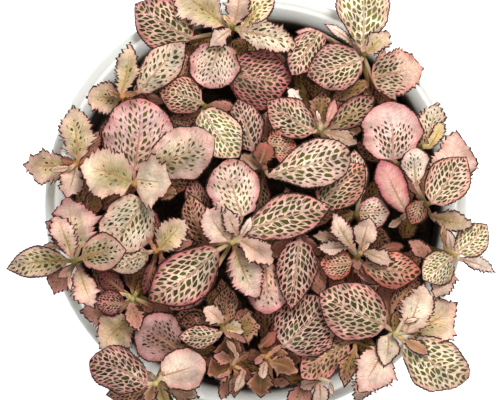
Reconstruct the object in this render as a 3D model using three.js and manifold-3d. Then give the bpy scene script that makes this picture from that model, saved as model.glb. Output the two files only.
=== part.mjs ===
// Potted nerve plant: a tapered round pot, its soil, and one leafy stem per mesh.
// Millimetres, +Z up. The pot stands on z = 0 and its axis is the Z axis.
import * as THREE from "three";
import Module from "manifold-3d";
import { mergeVertices } from "three/addons/utils/BufferGeometryUtils.js";

const wasm = await Module();
wasm.setup();

// Pot
const potHeight = 110;
const rimOuterRadius = 65;
const rimBandHeight = 9;
const rimBandStep = 1.6;
const wallThickness = 2.6;
const baseRadius = 45.5;
const baseEdge = 1.5;
const floorThickness = 3.2;
const drainHoleCount = 6;
const drainHoleRadius = 4;
const drainRingRadius = 30;
const potSides = 36;

// Soil
const soilTop = 85;
const soilGap = 0.3;
const soilRoughness = 0.9;
const soilRings = [0, 17, 34, 48];
const soilSides = 32;

// Stems
const stemRadius = 1.2;
const stemTipRadius = 0.7;
const stemSides = 5;
const rootDepth = 13;
const stemHoleGap = 0.4;
const straightAboveSoil = 4;
const budAboveLastLeaf = 1.6;
const leanEndBelowDome = 4;

// Leaf stalks and blades
const bladeThickness = 0.9;
const stalkWidth = 1.5;
const stalkDepth = 1.3;
const stalkRootWidth = 0.8;
const stalkRootDepth = 0.9;
const stalkRise = 0.45;
const archPerLength = 0.075;
const foldPerWidth = 0.16;
const tipDropPerLength = 0.1;

// The canopy is a low dome. Layer 8 lies on it and each lower layer lies a step deeper.
const domeTop = 146;
const domeFall = 0.0045;
const topLayer = 8;
const layerStep = 2;
const leafGap = 2;
const sameStemGap = 1.5;
const outlineMargin = 0.5;
const crownClearance = 2.6;
const rimClearance = 2.2;

// Each outline: how deep its teeth are, how many edge points a side and midline points it
// has, and, where they don't follow from the leaf's proportions, how fast it widens from
// its base (rise) and narrows to its tip (fall).
const outlines = {
  net: { tooth: 0.03, points: 4, ribs: 2 },
  round: { tooth: 0.04, points: 5, ribs: 2 },
  frill: { tooth: 0.13, points: 5, ribs: 2 },
  small: { tooth: 0.08, points: 3, ribs: 1 },
  wedge: { tooth: 0.04, points: 5, ribs: 2, rise: 0.9, fall: 0.4 },
  drop: { tooth: 0.05, points: 5, ribs: 2, rise: 0.45, fall: 0.7 },
};

// Every leafy stem: the crown at its top, and its leaves as
// [base x, base y, tip x, tip y, width, layer, outline], seen from above.
const stems = [
  {
    name: "stem_back_a", crown: [-7, 53.5], root: [-9.5, 50.5],
    leaves: [
      [-19.5, 50.5, -37, 62, 17, 4, "net"],
      [-13, 50.5, -23, 51, 5, 2, "frill"],
      [-4, 54, 6, 65, 9, 4, "net"],
      [-6.5, 55, -5, 67, 9, 5, "frill"],
      [-11, 48.7, -14, 35, 16.5, 5, "round"],
      [-10, 54.5, -26.5, 66, 13, 7, "frill"],
      [-5, 52.3, 13, 47.3, 10.5, 7, "frill"],
      [-8, 52.5, -14.3, 47.5, 6, 8, "frill"],
    ],
  },
  {
    name: "stem_back_b", crown: [-40, 32.5], root: [-36, 29],
    leaves: [
      [-40.5, 30, -42, 22, 6, 3, "small"],
      [-38, 31, -32, 31.5, 5, 3, "small"],
      [-41.5, 32, -51.8, 32.5, 11, 5, "frill"],
      [-34.7, 34, -21.3, 49.7, 12, 6, "net"],
      [-40.2, 33.5, -38, 49, 8, 7, "frill"],
    ],
  },
  {
    name: "stem_back_c", crown: [-15.2, 29.6], root: [-15.2, 29.6],
    leaves: [
      [-23.8, 36, -21, 46.2, 8, 2, "small"],
      [-25, 35.8, -30.8, 37.5, 4.8, 2, "small"],
      [-16.4, 30.7, -29.3, 34.3, 12.5, 5, "net"],
      [-16, 28.2, -5.3, 13.7, 15, 5, "net"],
    ],
  },
  {
    name: "stem_back_d", crown: [-9.5, 39], root: [-9.5, 39],
    leaves: [
      [-12, 38, -23, 40, 7, 1, "small"],
      [-8.5, 42, -3, 51, 8, 1, "small"],
      [-7, 39.5, 11, 38, 19.5, 3, "net"],
    ],
  },
  {
    name: "stem_back_e", crown: [19, 22.3], root: [19, 22.3],
    leaves: [
      [13.5, 29, 9.5, 35.5, 5, 4, "frill"],
      [18.7, 25, 20, 35, 8, 4, "frill"],
      [22.5, 23, 36, 33.5, 9.5, 4, "net"],
      [21, 21.8, 31.5, 18.3, 5.5, 5, "frill"],
      [17, 21.8, 3.3, 31.5, 13, 6, "net"],
      [21, 24, 23.6, 32.5, 4, 7, "small"],
    ],
  },
  {
    name: "stem_back_f", crown: [32.6, 45.2], root: [29, 41],
    leaves: [
      [36, 36, 42.5, 28.5, 7, 2, "small"],
      [20.5, 51.5, 11.6, 52.8, 3.8, 3, "small"],
      [19.5, 52.5, 11, 38.5, 12, 4, "net"],
      [34, 37, 22.5, 31.3, 7, 3, "small"],
      [30, 48, 20.5, 55.3, 3.6, 5, "small"],
      [35, 38, 51.3, 41.5, 16, 6, "frill"],
      [32.2, 46.5, 32, 69, 18, 6, "wedge"],
      [33.6, 46, 40.8, 52.3, 7.5, 7, "frill"],
      [31.6, 43.6, 15.2, 38, 15.5, 8, "net"],
    ],
  },
  {
    name: "stem_left_a", crown: [-36.2, 6.2], root: [-35, 6.5],
    leaves: [
      [-48.5, 5.5, -49.8, -4.5, 6.5, 1, "small"],
      [-31, 5, -23.3, 3.3, 6.5, 3, "small"],
      [-36.7, 10.3, -35, 32, 23, 5, "round"],
      [-31.5, 11.5, -12.7, 20.5, 17, 6, "round"],
      [-33.5, 1.5, -45, -12.5, 17.5, 6, "round"],
      [-37.3, 6.8, -53.3, 11.8, 16.5, 8, "frill"],
      [-35.7, 7.7, -25, 6.8, 16, 8, "frill"],
    ],
  },
  {
    name: "stem_left_b", crown: [-54.3, 12.3], root: [-47, 10.5],
    leaves: [
      [-51.8, 14, -47.5, 22.5, 6.5, 3, "small"],
      [-56.8, 12, -71.5, 12.5, 11.3, 5, "frill"],
      [-54.5, 10.8, -57, 1.8, 9, 6, "frill"],
      [-53.5, 14, -56, 30.3, 11.7, 7, "frill"],
      [-55.3, 12.9, -59, 13.9, 3.2, 8, "small"],
    ],
  },
  {
    name: "stem_left_c", crown: [-54.5, -17], root: [-47, -15],
    leaves: [
      [-57.5, -19.5, -61.8, -27.5, 8, 4, "frill"],
      [-60.5, -12.5, -65.3, -12.7, 3.6, 5, "small"],
      [-58, -9, -64.3, -5, 5, 5, "small"],
      [-53, -13, -57, 2.2, 16, 6, "frill"],
      [-57, -16.8, -76.5, -19.8, 10.5, 7, "net"],
      [-52, -15.7, -38.6, -13.6, 12.5, 7, "net"],
      [-55.3, -15.2, -60.3, -2.3, 8.5, 8, "frill"],
      [-53.3, -19, -48.8, -31.6, 8.8, 8, "frill"],
      [-55, -18.2, -60, -22.3, 4, 8, "small"],
    ],
  },
  {
    name: "stem_left_d", crown: [-37.3, -28.3], root: [-36, -27.5],
    leaves: [
      [-36, -26.3, -30.8, -21.5, 6, 1, "small"],
      [-40.5, -26, -47.8, -20.5, 7.5, 3, "small"],
      [-41.5, -32.5, -53.8, -32.6, 8.5, 4, "frill"],
      [-37.5, -34.3, -47.8, -43.8, 13, 5, "frill"],
      [-39.8, -29.5, -48.8, -28.7, 8.5, 6, "net"],
      [-37.8, -30, -34.6, -37.6, 6.5, 7, "frill"],
    ],
  },
  {
    name: "stem_left_e", crown: [-30, -13.8], root: [-30, -13.5],
    leaves: [
      [-31, -11.8, -30.5, -1.5, 6, 2, "small"],
      [-30.6, -16.3, -33.6, -27.5, 5, 3, "small"],
      [-32.5, -14.3, -43.8, -19.3, 10, 5, "net"],
      [-28.5, -13, -20.5, -4.5, 10.5, 6, "frill"],
    ],
  },
  {
    name: "stem_middle_a", crown: [-7, -11], root: [-7, -11],
    leaves: [
      [-14.5, -2, -20.5, 8.3, 7.5, 2, "small"],
      [-14.5, -12, -20.5, 3.5, 10, 3, "net"],
      [2.5, -15, 3, -32.8, 13.5, 6, "wedge"],
      [-11.8, -18.5, -26, -32.5, 11, 6, "net"],
      [-4.2, -3.5, -9, 13.5, 17, 7, "round"],
      [-3, -8, 22.5, 0.3, 14.5, 8, "net"],
      [-11.5, -13.5, -32.3, -29, 17, 8, "net"],
      [-8.3, -10.5, -14.7, -0.3, 10.5, 8, "frill"],
      [-6, -13, 0.6, -28.6, 11.5, 8, "frill"],
      [-5.2, -9, -9.3, -0.4, 6, 9, "frill"],
      [-4.5, -10.5, 5.8, -17.5, 8.5, 9, "frill"],
      [-4.8, -9.7, -1.4, -3, 3.4, 9, "small"],
    ],
  },
  {
    name: "stem_middle_b", crown: [2.6, 11], root: [2.6, 11],
    leaves: [
      [-1, 16.5, -6, 32, 12, 3, "net"],
      [3.4, 18.3, 12.3, 18.2, 11, 4, "frill"],
      [1.2, 12.6, 3.2, 19.5, 7.5, 5, "frill"],
      [3.6, 8.6, 28.3, 14.6, 16, 8, "wedge"],
    ],
  },
  {
    name: "stem_middle_c", crown: [12.5, -8.7], root: [12.5, -8.7],
    leaves: [
      [18, -16.5, 20, -28, 7, 3, "small"],
      [10.5, -9.8, 3.5, -16, 6, 3, "small"],
      [19.5, 0, 32.5, 12.3, 15, 5, "net"],
      [12.9, -10.5, 11, -32, 13, 7, "drop"],
    ],
  },
  {
    name: "stem_middle_d", crown: [30.2, -2.9], root: [30.2, -2.9],
    leaves: [
      [31, 2.5, 29.8, 17, 9, 4, "net"],
      [31, -2.6, 40.4, -2.5, 10.8, 6, "net"],
    ],
  },
  {
    name: "stem_middle_e", crown: [30.3, -15.5], root: [30, -15.5],
    leaves: [
      [31.5, -17.5, 34, -21.5, 3, 5, "small"],
      [31.5, -12, 34, -3.6, 8.5, 6, "small"],
      [28.6, -17.3, 19, -17.5, 11, 6, "net"],
      [27.5, -11.3, 16, -9.3, 4.5, 6, "frill"],
      [32.3, -17.8, 50.5, -20.5, 12.5, 6, "net"],
      [27.2, -12.3, 18, -12.8, 5.5, 7, "frill"],
      [29, -13, 22.2, -1.8, 7, 8, "frill"],
      [32, -13.6, 41.5, -17.8, 6, 8, "frill"],
      [29.8, -16.3, 30.6, -19.6, 3.6, 8, "small"],
      [29.8, -19.5, 36.8, -24.2, 4.6, 4, "small"],
    ],
  },
  {
    name: "stem_right_a", crown: [42.6, 12.2], root: [42.6, 12.2],
    leaves: [
      [41, 13.5, 39.3, 31, 19.5, 6, "round"],
    ],
  },
  {
    name: "stem_right_b", crown: [50.9, 0.4], root: [47.5, 0.4],
    leaves: [
      [44.3, -3.6, 39.8, -6.7, 3.2, 4, "small"],
      [55, 0.8, 60.5, 23, 15, 6, "frill"],
      [45, -2.2, 37.5, 13.8, 10, 7, "round"],
      [47.8, 5.5, 46.7, 17, 9.5, 7, "wedge"],
      [52.8, -3.4, 66.5, -6, 7.5, 7, "frill"],
      [49.4, 0.9, 46.3, -5.8, 7.5, 8, "net"],
      [52, 0.8, 62.3, 14.7, 14, 8, "net"],
    ],
  },
  {
    name: "stem_right_c", crown: [50.7, 17.6], root: [46.5, 19],
    leaves: [
      [50, 21.5, 49.7, 28.7, 4, 5, "small"],
      [52, 19.5, 54.5, 31.3, 9.5, 5, "frill"],
      [51.8, 17.2, 56, 25.5, 5, 6, "frill"],
    ],
  },
  {
    name: "stem_right_d", crown: [60.1, -15.2], root: [50.5, -13],
    leaves: [
      [54, -16.8, 45.5, -10.8, 6, 4, "small"],
      [58.5, -19, 54.2, -28.3, 9, 7, "frill"],
      [61, -14.2, 70.7, -6, 11, 6, "net"],
      [61.5, -16.3, 73.5, -21, 4.8, 6, "frill"],
      [59, -14, 57.3, -7, 4.2, 7, "small"],
      [58.8, -16, 50, -22.3, 11.5, 8, "net"],
    ],
  },
  {
    name: "stem_front_a", crown: [41.8, -38.6], root: [38.5, -35.5],
    leaves: [
      [41.3, -31, 50.5, -22, 8, 3, "small"],
      [37, -46, 30, -61, 8, 4, "frill"],
      [38.8, -43, 30.5, -56, 13.5, 6, "frill"],
      [46.8, -38.8, 61.5, -29.5, 14, 6, "frill"],
      [44.5, -41, 65, -53, 17, 7, "round"],
      [38.9, -36.3, 19, -25.5, 19, 7, "net"],
      [42, -37.5, 42.3, -31.3, 5, 7, "small"],
      [44.8, -38.3, 50.3, -23, 11.5, 8, "frill"],
      [39.9, -39.3, 38.3, -49, 8, 8, "drop"],
      [44, -40.3, 52.3, -45.4, 4.8, 8, "small"],
    ],
  },
  {
    name: "stem_front_b", crown: [29.8, -40.8], root: [29, -39.5],
    leaves: [
      [27.6, -41.5, 13.5, -51.8, 12.5, 5, "round"],
      [30, -41.5, 37, -44, 6, 4, "small"],
      [29.8, -43.5, 26.3, -55, 6.5, 5, "frill"],
    ],
  },
  {
    name: "stem_front_c", crown: [3.2, -45.5], root: [3, -44],
    leaves: [
      [5.2, -53.5, 10.6, -54.2, 4.2, 4, "small"],
      [8.5, -42.5, 21, -28.3, 20, 5, "round"],
      [5, -44.7, 13, -49.3, 4, 6, "small"],
      [5.3, -43.6, 9.8, -44.6, 4, 6, "small"],
      [2, -50, 1.5, -58.5, 8.5, 6, "frill"],
      [4.5, -47, 12.8, -50.2, 7, 7, "frill"],
      [1, -42.7, 6.3, -37.5, 4.8, 7, "small"],
      [1.9, -45.2, -0.4, -47.8, 3, 8, "small"],
      [2.6, -47.5, 2, -52.6, 4, 8, "small"],
    ],
  },
  {
    name: "stem_front_d", crown: [-7, -48], root: [-6.5, -46.5],
    leaves: [
      [-8.5, -51, -10.5, -59.5, 5, 5, "frill"],
      [-7.8, -47.6, -14.8, -51, 9, 6, "frill"],
      [-5.8, -50.3, -6.5, -58.5, 4.5, 6, "small"],
      [-8, -46.6, -12.8, -45, 4.8, 7, "frill"],
      [-5.7, -46.6, -1.8, -43.8, 3, 7, "small"],
      [-3.6, -49.5, -6.4, -56.8, 3.6, 7, "small"],
    ],
  },
  {
    name: "stem_front_e", crown: [-10, -36], root: [-10, -35.5],
    leaves: [
      [-5.8, -37.3, 1.3, -36.3, 9.5, 4, "frill"],
      [-8.5, -34.5, -8.3, -24, 8.5, 4, "small"],
      [-13, -35.6, -19, -33.8, 3.5, 5, "small"],
      [-10.6, -38.5, -23.4, -39.4, 8.3, 8, "net"],
      [-10.2, -34.8, -16, -30.3, 6.8, 8, "frill"],
      [-9.3, -36.8, -3.5, -37.8, 6.8, 8, "frill"],
    ],
  },
  {
    name: "stem_front_f", crown: [-21, -44], root: [-21, -43.5],
    leaves: [
      [-19, -44, -12, -43, 5, 2, "small"],
      [-23.5, -43.5, -35.5, -36, 16.5, 6, "round"],
    ],
  },
  {
    name: "stem_front_g", crown: [-30, -53.3], root: [-26.5, -46.5],
    leaves: [
      [-30.3, -56, -32, -71, 14, 4, "net"],
      [-32, -51.3, -39.5, -49, 3.4, 5, "small"],
      [-33, -55, -46, -58, 8, 5, "net"],
      [-27.5, -54.5, -17, -58.5, 6.5, 5, "frill"],
      [-29, -55.3, -26.5, -62, 5, 6, "small"],
      [-32.5, -53.3, -50.2, -46.8, 14.5, 6, "round"],
      [-28, -51, -15.2, -46.5, 14, 7, "round"],
      [-31.2, -54.8, -33.5, -60, 4.5, 7, "small"],
    ],
  },
  {
    name: "stem_front_h", crown: [18.5, -52], root: [18, -49.5],
    leaves: [
      [15, -54.5, 9, -66, 9.5, 3, "frill"],
      [18.2, -53.8, 13, -55.5, 5, 4, "small"],
      [19.3, -54, 19.7, -62, 6, 4, "small"],
    ],
  },
];

function smoothNoise(a, b) {
  return Math.sin(a * 1.7 + b * 2.3) * 0.5 + Math.sin(a * 0.9 - b * 3.1 + 1.3) * 0.5;
}

function domeHeight(x, y) {
  return domeTop - domeFall * (x * x + y * y);
}

function clamp(value, low, high) {
  return Math.min(Math.max(value, low), high);
}

// The share of the full half width at a station s from base (0) to tip (1).
function widthShare(leaf, s) {
  const { rise, fall } = leaf;
  const peak = rise / (rise + fall);
  const scale = Math.pow(peak, rise) * Math.pow(1 - peak, fall);
  const along = clamp(s, 0, 1);
  return Math.pow(along, rise) * Math.pow(1 - along, fall) / scale;
}

function makeLeaf(stem, row, index) {
  const [baseX, baseY, tipX, tipY, width, layer, outline] = row;
  const length = Math.hypot(tipX - baseX, tipY - baseY);
  const along = [(tipX - baseX) / length, (tipY - baseY) / length];
  const across = [-along[1], along[0]];
  const depth = (topLayer - layer) * layerStep;
  const leaf = {
    stem, index, outline, layer, length, along, across,
    base: [baseX, baseY],
    tip: [tipX, tipY],
    halfWidth: width / 2,
    baseZ: domeHeight(baseX, baseY) - depth,
    tipZ: domeHeight(tipX, tipY) - depth - tipDropPerLength * length,
  };
  // A broad leaf is blunt at both ends, a slender one tapers
  const slender = 1 - width / length;
  const { rise, fall } = outlines[outline];
  leaf.rise = rise ?? clamp(0.4 + 0.5 * slender, 0.36, 0.75);
  leaf.fall = fall ?? clamp(0.32 + 0.26 * slender, 0.28, 0.55);
  leaf.stalk = Math.hypot(baseX - stem.crown[0], baseY - stem.crown[1]);
  leaf.fold = outline === "frill" ? foldPerWidth : -foldPerWidth;
  return leaf;
}

// A plan point in the leaf's own terms: s along the blade, q across it in half widths.
function leafCoordinates(leaf, x, y) {
  const dx = x - leaf.base[0];
  const dy = y - leaf.base[1];
  const s = (dx * leaf.along[0] + dy * leaf.along[1]) / leaf.length;
  const q = (dx * leaf.across[0] + dy * leaf.across[1]) / leaf.halfWidth;
  return [s, q];
}

function leafPoint(leaf, s, q) {
  const reach = s * leaf.length;
  const side = q * leaf.halfWidth;
  return [
    leaf.base[0] + leaf.along[0] * reach + leaf.across[0] * side,
    leaf.base[1] + leaf.along[1] * reach + leaf.across[1] * side,
  ];
}

// Blade height: a straight line from base to tip, an arch along it and a fold across it.
function bladeHeight(leaf, s, q) {
  const line = leaf.baseZ * (1 - s) + leaf.tipZ * s;
  const middle = 4 * s * (1 - s);
  const arch = archPerLength * leaf.length * middle;
  const fold = leaf.fold * leaf.halfWidth * q * q * middle;
  return line + arch + fold;
}

function insideOutline(leaf, s, q) {
  const margin = outlineMargin / leaf.halfWidth;
  if (s < -outlineMargin / leaf.length || s > 1 + outlineMargin / leaf.length) {
    return false;
  }
  return Math.abs(q) <= widthShare(leaf, s) + margin;
}

function stalkHeight(leaf, fromBase) {
  return leaf.baseZ - stalkRise * fromBase;
}

// The stem's middle at a height: upright from the root, then leaning out to the crown.
function stemMiddle(stem, z) {
  const startZ = soilTop + straightAboveSoil;
  const endZ = domeHeight(stem.crown[0], stem.crown[1]) - leanEndBelowDome;
  const share = clamp((z - startZ) / (endZ - startZ), 0, 1);
  const sway = share * share * (3 - 2 * share);
  return [
    stem.root[0] + (stem.crown[0] - stem.root[0]) * sway,
    stem.root[1] + (stem.crown[1] - stem.root[1]) * sway,
  ];
}

// Sample points of the stalk, from the blade to the stem.
function stalkPoints(leaf) {
  const points = [];
  const steps = Math.floor(leaf.stalk / 1.5);
  const [rootX, rootY] = stemMiddle(leaf.stem, stalkHeight(leaf, leaf.stalk));
  for (let i = 1; i <= steps; i += 1) {
    const share = i / (steps + 1);
    const x = leaf.base[0] + (rootX - leaf.base[0]) * share;
    const y = leaf.base[1] + (rootY - leaf.base[1]) * share;
    points.push({ x, y, s: 0, q: 0, fromBase: share * leaf.stalk });
  }
  return points;
}

// Sample points of the blade, on a grid.
function bladePoints(leaf) {
  const points = [];
  for (let i = 0; i <= 12; i += 1) {
    const s = i / 12;
    const share = widthShare(leaf, s);
    for (const part of [-1, -0.5, 0, 0.5, 1]) {
      const q = part * share;
      const [x, y] = leafPoint(leaf, s, q);
      points.push({ x, y, s, q, fromBase: 0 });
    }
  }
  return points;
}

function heightAt(leaf, point) {
  if (point.fromBase > 0) {
    return stalkHeight(leaf, point.fromBase);
  }
  return bladeHeight(leaf, point.s, point.q);
}

function reachesOver(a, b) {
  const dx = (a.base[0] + a.tip[0] - b.base[0] - b.tip[0]) / 2;
  const dy = (a.base[1] + a.tip[1] - b.base[1] - b.tip[1]) / 2;
  const reach = (a.length + b.length) / 2 + a.stalk + b.stalk + 8;
  return Math.hypot(dx, dy) < reach;
}

// The largest shortfall of a leaf above what is already placed, and where it is.
function worstShortfall(leaf, placed, crowns) {
  let worst = { need: 0, s: 0 };
  const note = (need, s) => {
    if (need > worst.need) {
      worst = { need, s };
    }
  };
  for (const other of placed) {
    if (!reachesOver(leaf, other)) {
      continue;
    }
    const same = other.stem === leaf.stem;
    const gap = same ? sameStemGap : leafGap;
    const crown = leaf.stem.crown;
    for (const point of leaf.samples) {
      const [s, q] = leafCoordinates(other, point.x, point.y);
      if (!insideOutline(other, s, q)) {
        continue;
      }
      if (same && Math.hypot(point.x - crown[0], point.y - crown[1]) < 4) {
        continue;
      }
      note(bladeHeight(other, s, q) + gap - heightAt(leaf, point), point.s);
    }
    for (const point of other.samples) {
      const [s, q] = leafCoordinates(leaf, point.x, point.y);
      if (!insideOutline(leaf, s, q)) {
        continue;
      }
      if (same && Math.hypot(point.x - crown[0], point.y - crown[1]) < 4) {
        continue;
      }
      note(heightAt(other, point) + gap - bladeHeight(leaf, s, q), clamp(s, 0, 1));
    }
  }
  for (const [stem, crownZ] of crowns) {
    if (stem === leaf.stem) {
      continue;
    }
    const [s, q] = leafCoordinates(leaf, stem.crown[0], stem.crown[1]);
    if (insideOutline(leaf, s, q)) {
      note(crownZ + crownClearance - bladeHeight(leaf, s, q), clamp(s, 0, 1));
    }
  }
  for (const point of leaf.samples) {
    const radius = Math.hypot(point.x, point.y);
    if (radius > rimOuterRadius - 6 && radius < rimOuterRadius + 2) {
      note(potHeight + rimClearance - heightAt(leaf, point), point.s);
    }
  }
  return worst;
}

// Lays the leaves from the lowest layer up. A leaf that would cross one below it is
// raised at its base and tip, in the shares that its worst point asks for.
function layLeaves() {
  const leaves = [];
  for (const stem of stems) {
    stem.leaves.forEach((row, index) => leaves.push(makeLeaf(stem, row, index)));
  }
  const order = leaves.map((leaf, index) => [leaf.layer, index, leaf]);
  order.sort((a, b) => a[0] - b[0] || a[1] - b[1]);
  const placed = [];
  const crowns = new Map();
  for (const [, , leaf] of order) {
    const blade = bladePoints(leaf);
    for (let round = 0; round < 200; round += 1) {
      leaf.samples = [...blade, ...stalkPoints(leaf)];
      const { need, s } = worstShortfall(leaf, placed, crowns);
      if (need < 0.02) {
        break;
      }
      const lift = need / ((1 - s) * (1 - s) + s * s);
      leaf.baseZ += lift * (1 - s);
      leaf.tipZ += lift * s;
    }
    placed.push(leaf);
    const reach = stalkHeight(leaf, leaf.stalk) + budAboveLastLeaf;
    crowns.set(leaf.stem, Math.max(crowns.get(leaf.stem) ?? 0, reach));
  }
  return { leaves, crowns };
}

function solidFrom(geometry) {
  const bare = geometry.clone();
  bare.deleteAttribute("normal");
  bare.deleteAttribute("uv");
  const merged = mergeVertices(bare, 1e-4);
  const source = merged.index.array;
  const kept = [];
  for (let i = 0; i < source.length; i += 3) {
    const [a, b, c] = [source[i], source[i + 1], source[i + 2]];
    if (a !== b && b !== c && c !== a) {
      kept.push(a, b, c);
    }
  }
  return new wasm.Manifold(new wasm.Mesh({
    numProp: 3,
    vertProperties: new Float32Array(merged.attributes.position.array),
    triVerts: new Uint32Array(kept),
  }));
}

function meshFrom(solid, name, colour, roughness) {
  const result = solid.getMesh();
  const geometry = new THREE.BufferGeometry();
  geometry.setAttribute("position", new THREE.BufferAttribute(result.vertProperties, 3));
  geometry.setIndex(new THREE.BufferAttribute(result.triVerts, 1));
  geometry.computeVertexNormals();
  const material = new THREE.MeshStandardMaterial({ color: colour, roughness, metalness: 0 });
  const mesh = new THREE.Mesh(geometry, material);
  mesh.name = name;
  return mesh;
}

function geometryFrom(positions, triangles) {
  const geometry = new THREE.BufferGeometry();
  geometry.setAttribute("position", new THREE.Float32BufferAttribute(positions.flat(), 3));
  geometry.setIndex(triangles.flat());
  return geometry;
}

// A closed body from rings of points of equal count, bottom ring first.
function bodyFromRings(rings) {
  const count = rings[0].length;
  const positions = rings.flat();
  const triangles = [];
  for (let ring = 0; ring + 1 < rings.length; ring += 1) {
    for (let i = 0; i < count; i += 1) {
      const a = ring * count + i;
      const b = ring * count + (i + 1) % count;
      triangles.push([a, b, b + count], [a, b + count, a + count]);
    }
  }
  const top = (rings.length - 1) * count;
  for (let i = 1; i + 1 < count; i += 1) {
    triangles.push([0, i + 1, i], [top, top + i, top + i + 1]);
  }
  return solidFrom(geometryFrom(positions, triangles));
}

function ring(x, y, z, radius, sides) {
  const points = [];
  for (let i = 0; i < sides; i += 1) {
    const angle = (i / sides) * Math.PI * 2;
    points.push([x + radius * Math.cos(angle), y + radius * Math.sin(angle), z]);
  }
  return points;
}

// Walks the midline and one edge from base to tip and joins them with triangles.
function stitch(midline, edge, leftHanded) {
  const triangles = [];
  let m = 0;
  let e = 0;
  while (m + 1 < midline.length || e + 1 < edge.length) {
    const nextM = m + 1 < midline.length ? midline[m + 1].s : Infinity;
    const nextE = e + 1 < edge.length ? edge[e + 1].s : Infinity;
    const a = midline[m].id;
    const b = edge[e].id;
    const stepMidline = nextM < nextE;
    const c = stepMidline ? midline[m + 1].id : edge[e + 1].id;
    if (a !== b && b !== c && c !== a) {
      triangles.push(leftHanded ? [a, c, b] : [a, b, c]);
    }
    if (stepMidline) {
      m += 1;
    } else {
      e += 1;
    }
  }
  return triangles;
}

// One leaf as a closed sheet: its stalk from the stem's middle, then the toothed blade.
function leafSolid(leaf) {
  const { points, ribs, tooth } = outlines[leaf.outline];
  const vertices = [];
  const addVertex = (x, y, z, half, s) => {
    vertices.push({ x, y, z, half });
    return { id: vertices.length - 1, s };
  };
  const stalkZ = stalkHeight(leaf, leaf.stalk);
  const [rootX, rootY] = stemMiddle(leaf.stem, stalkZ);
  const reach = Math.hypot(leaf.base[0] - rootX, leaf.base[1] - rootY);
  const sideX = -(leaf.base[1] - rootY) / reach * stalkRootWidth / 2;
  const sideY = (leaf.base[0] - rootX) / reach * stalkRootWidth / 2;
  const rootRight = addVertex(rootX - sideX, rootY - sideY, stalkZ, stalkRootDepth / 2, -1);
  const rootLeft = addVertex(rootX + sideX, rootY + sideY, stalkZ, stalkRootDepth / 2, -1);
  const halfStalk = stalkWidth / 2;
  const halfDepth = stalkDepth / 2;
  const neckShare = halfStalk / leaf.halfWidth;
  const neck = (side) => {
    const [x, y] = leafPoint(leaf, 0, side * neckShare);
    return addVertex(x, y, leaf.baseZ, halfDepth, 0);
  };
  const neckRight = neck(-1);
  const neckLeft = neck(1);
  const half = bladeThickness / 2;
  const midline = [addVertex(leaf.base[0], leaf.base[1], leaf.baseZ, halfDepth, 0)];
  for (let i = 1; i <= ribs; i += 1) {
    const s = i / (ribs + 1);
    const [x, y] = leafPoint(leaf, s, 0);
    midline.push(addVertex(x, y, bladeHeight(leaf, s, 0), half, s));
  }
  const tip = addVertex(leaf.tip[0], leaf.tip[1], leaf.tipZ, half, 1);
  midline.push(tip);
  const edges = [-1, 1].map((side) => {
    const edge = [side < 0 ? neckRight : neckLeft];
    for (let i = 1; i <= points; i += 1) {
      const s = (i - 0.35) / (points + 0.4);
      const wave = i % 2 === 0 ? 1 - tooth : 1;
      const q = side * Math.max(widthShare(leaf, s) * wave, neckShare);
      const [x, y] = leafPoint(leaf, s, q);
      edge.push(addVertex(x, y, bladeHeight(leaf, s, q), half, s));
    }
    edge.push(tip);
    return edge;
  });
  const faces = [
    [rootLeft.id, rootRight.id, midline[0].id],
    [rootRight.id, neckRight.id, midline[0].id],
    [rootLeft.id, midline[0].id, neckLeft.id],
    ...stitch(midline, edges[0], false),
    ...stitch(midline, edges[1], true),
  ];
  const outward = edges[0].map((vertex) => vertex.id);
  const homeward = edges[1].slice(0, -1).reverse().map((vertex) => vertex.id);
  const border = [rootRight.id, ...outward, ...homeward, rootLeft.id];
  const count = vertices.length;
  const positions = [
    ...vertices.map((v) => [v.x, v.y, v.z + v.half]),
    ...vertices.map((v) => [v.x, v.y, v.z - v.half]),
  ];
  const triangles = [];
  for (const [a, b, c] of faces) {
    triangles.push([a, b, c], [a + count, c + count, b + count]);
  }
  border.forEach((a, i) => {
    const b = border[(i + 1) % border.length];
    triangles.push([a, a + count, b + count], [a, b + count, b]);
  });
  return solidFrom(geometryFrom(positions, triangles));
}

function stemSolid(stem, crownZ) {
  const startZ = soilTop + straightAboveSoil;
  const neckZ = crownZ - 3;
  const lean = Math.hypot(stem.crown[0] - stem.root[0], stem.crown[1] - stem.root[1]);
  const heights = lean < 0.1 ? [neckZ] : [startZ];
  const steps = lean < 3 ? 1 : 3;
  for (let i = 1; i <= steps && lean >= 0.1; i += 1) {
    heights.push(startZ + (neckZ - startZ) * i / steps);
  }
  const rings = [
    ring(stem.root[0], stem.root[1], soilTop - rootDepth, stemRadius, stemSides),
    ...heights.map((z) => ring(...stemMiddle(stem, z), z, stemRadius, stemSides)),
    ring(...stemMiddle(stem, crownZ), crownZ, stemTipRadius, stemSides),
  ];
  return bodyFromRings(rings);
}

function stemHole(stem) {
  const [x, y] = stem.root;
  const radius = stemRadius + stemHoleGap;
  return bodyFromRings([
    ring(x, y, soilTop - rootDepth - 0.3, radius, stemSides),
    ring(x, y, soilTop + 6, radius, stemSides),
  ]);
}

function potInnerRadius(z) {
  const share = z / potHeight;
  return baseRadius + (rimOuterRadius - rimBandStep - baseRadius) * share - wallThickness;
}

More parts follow.
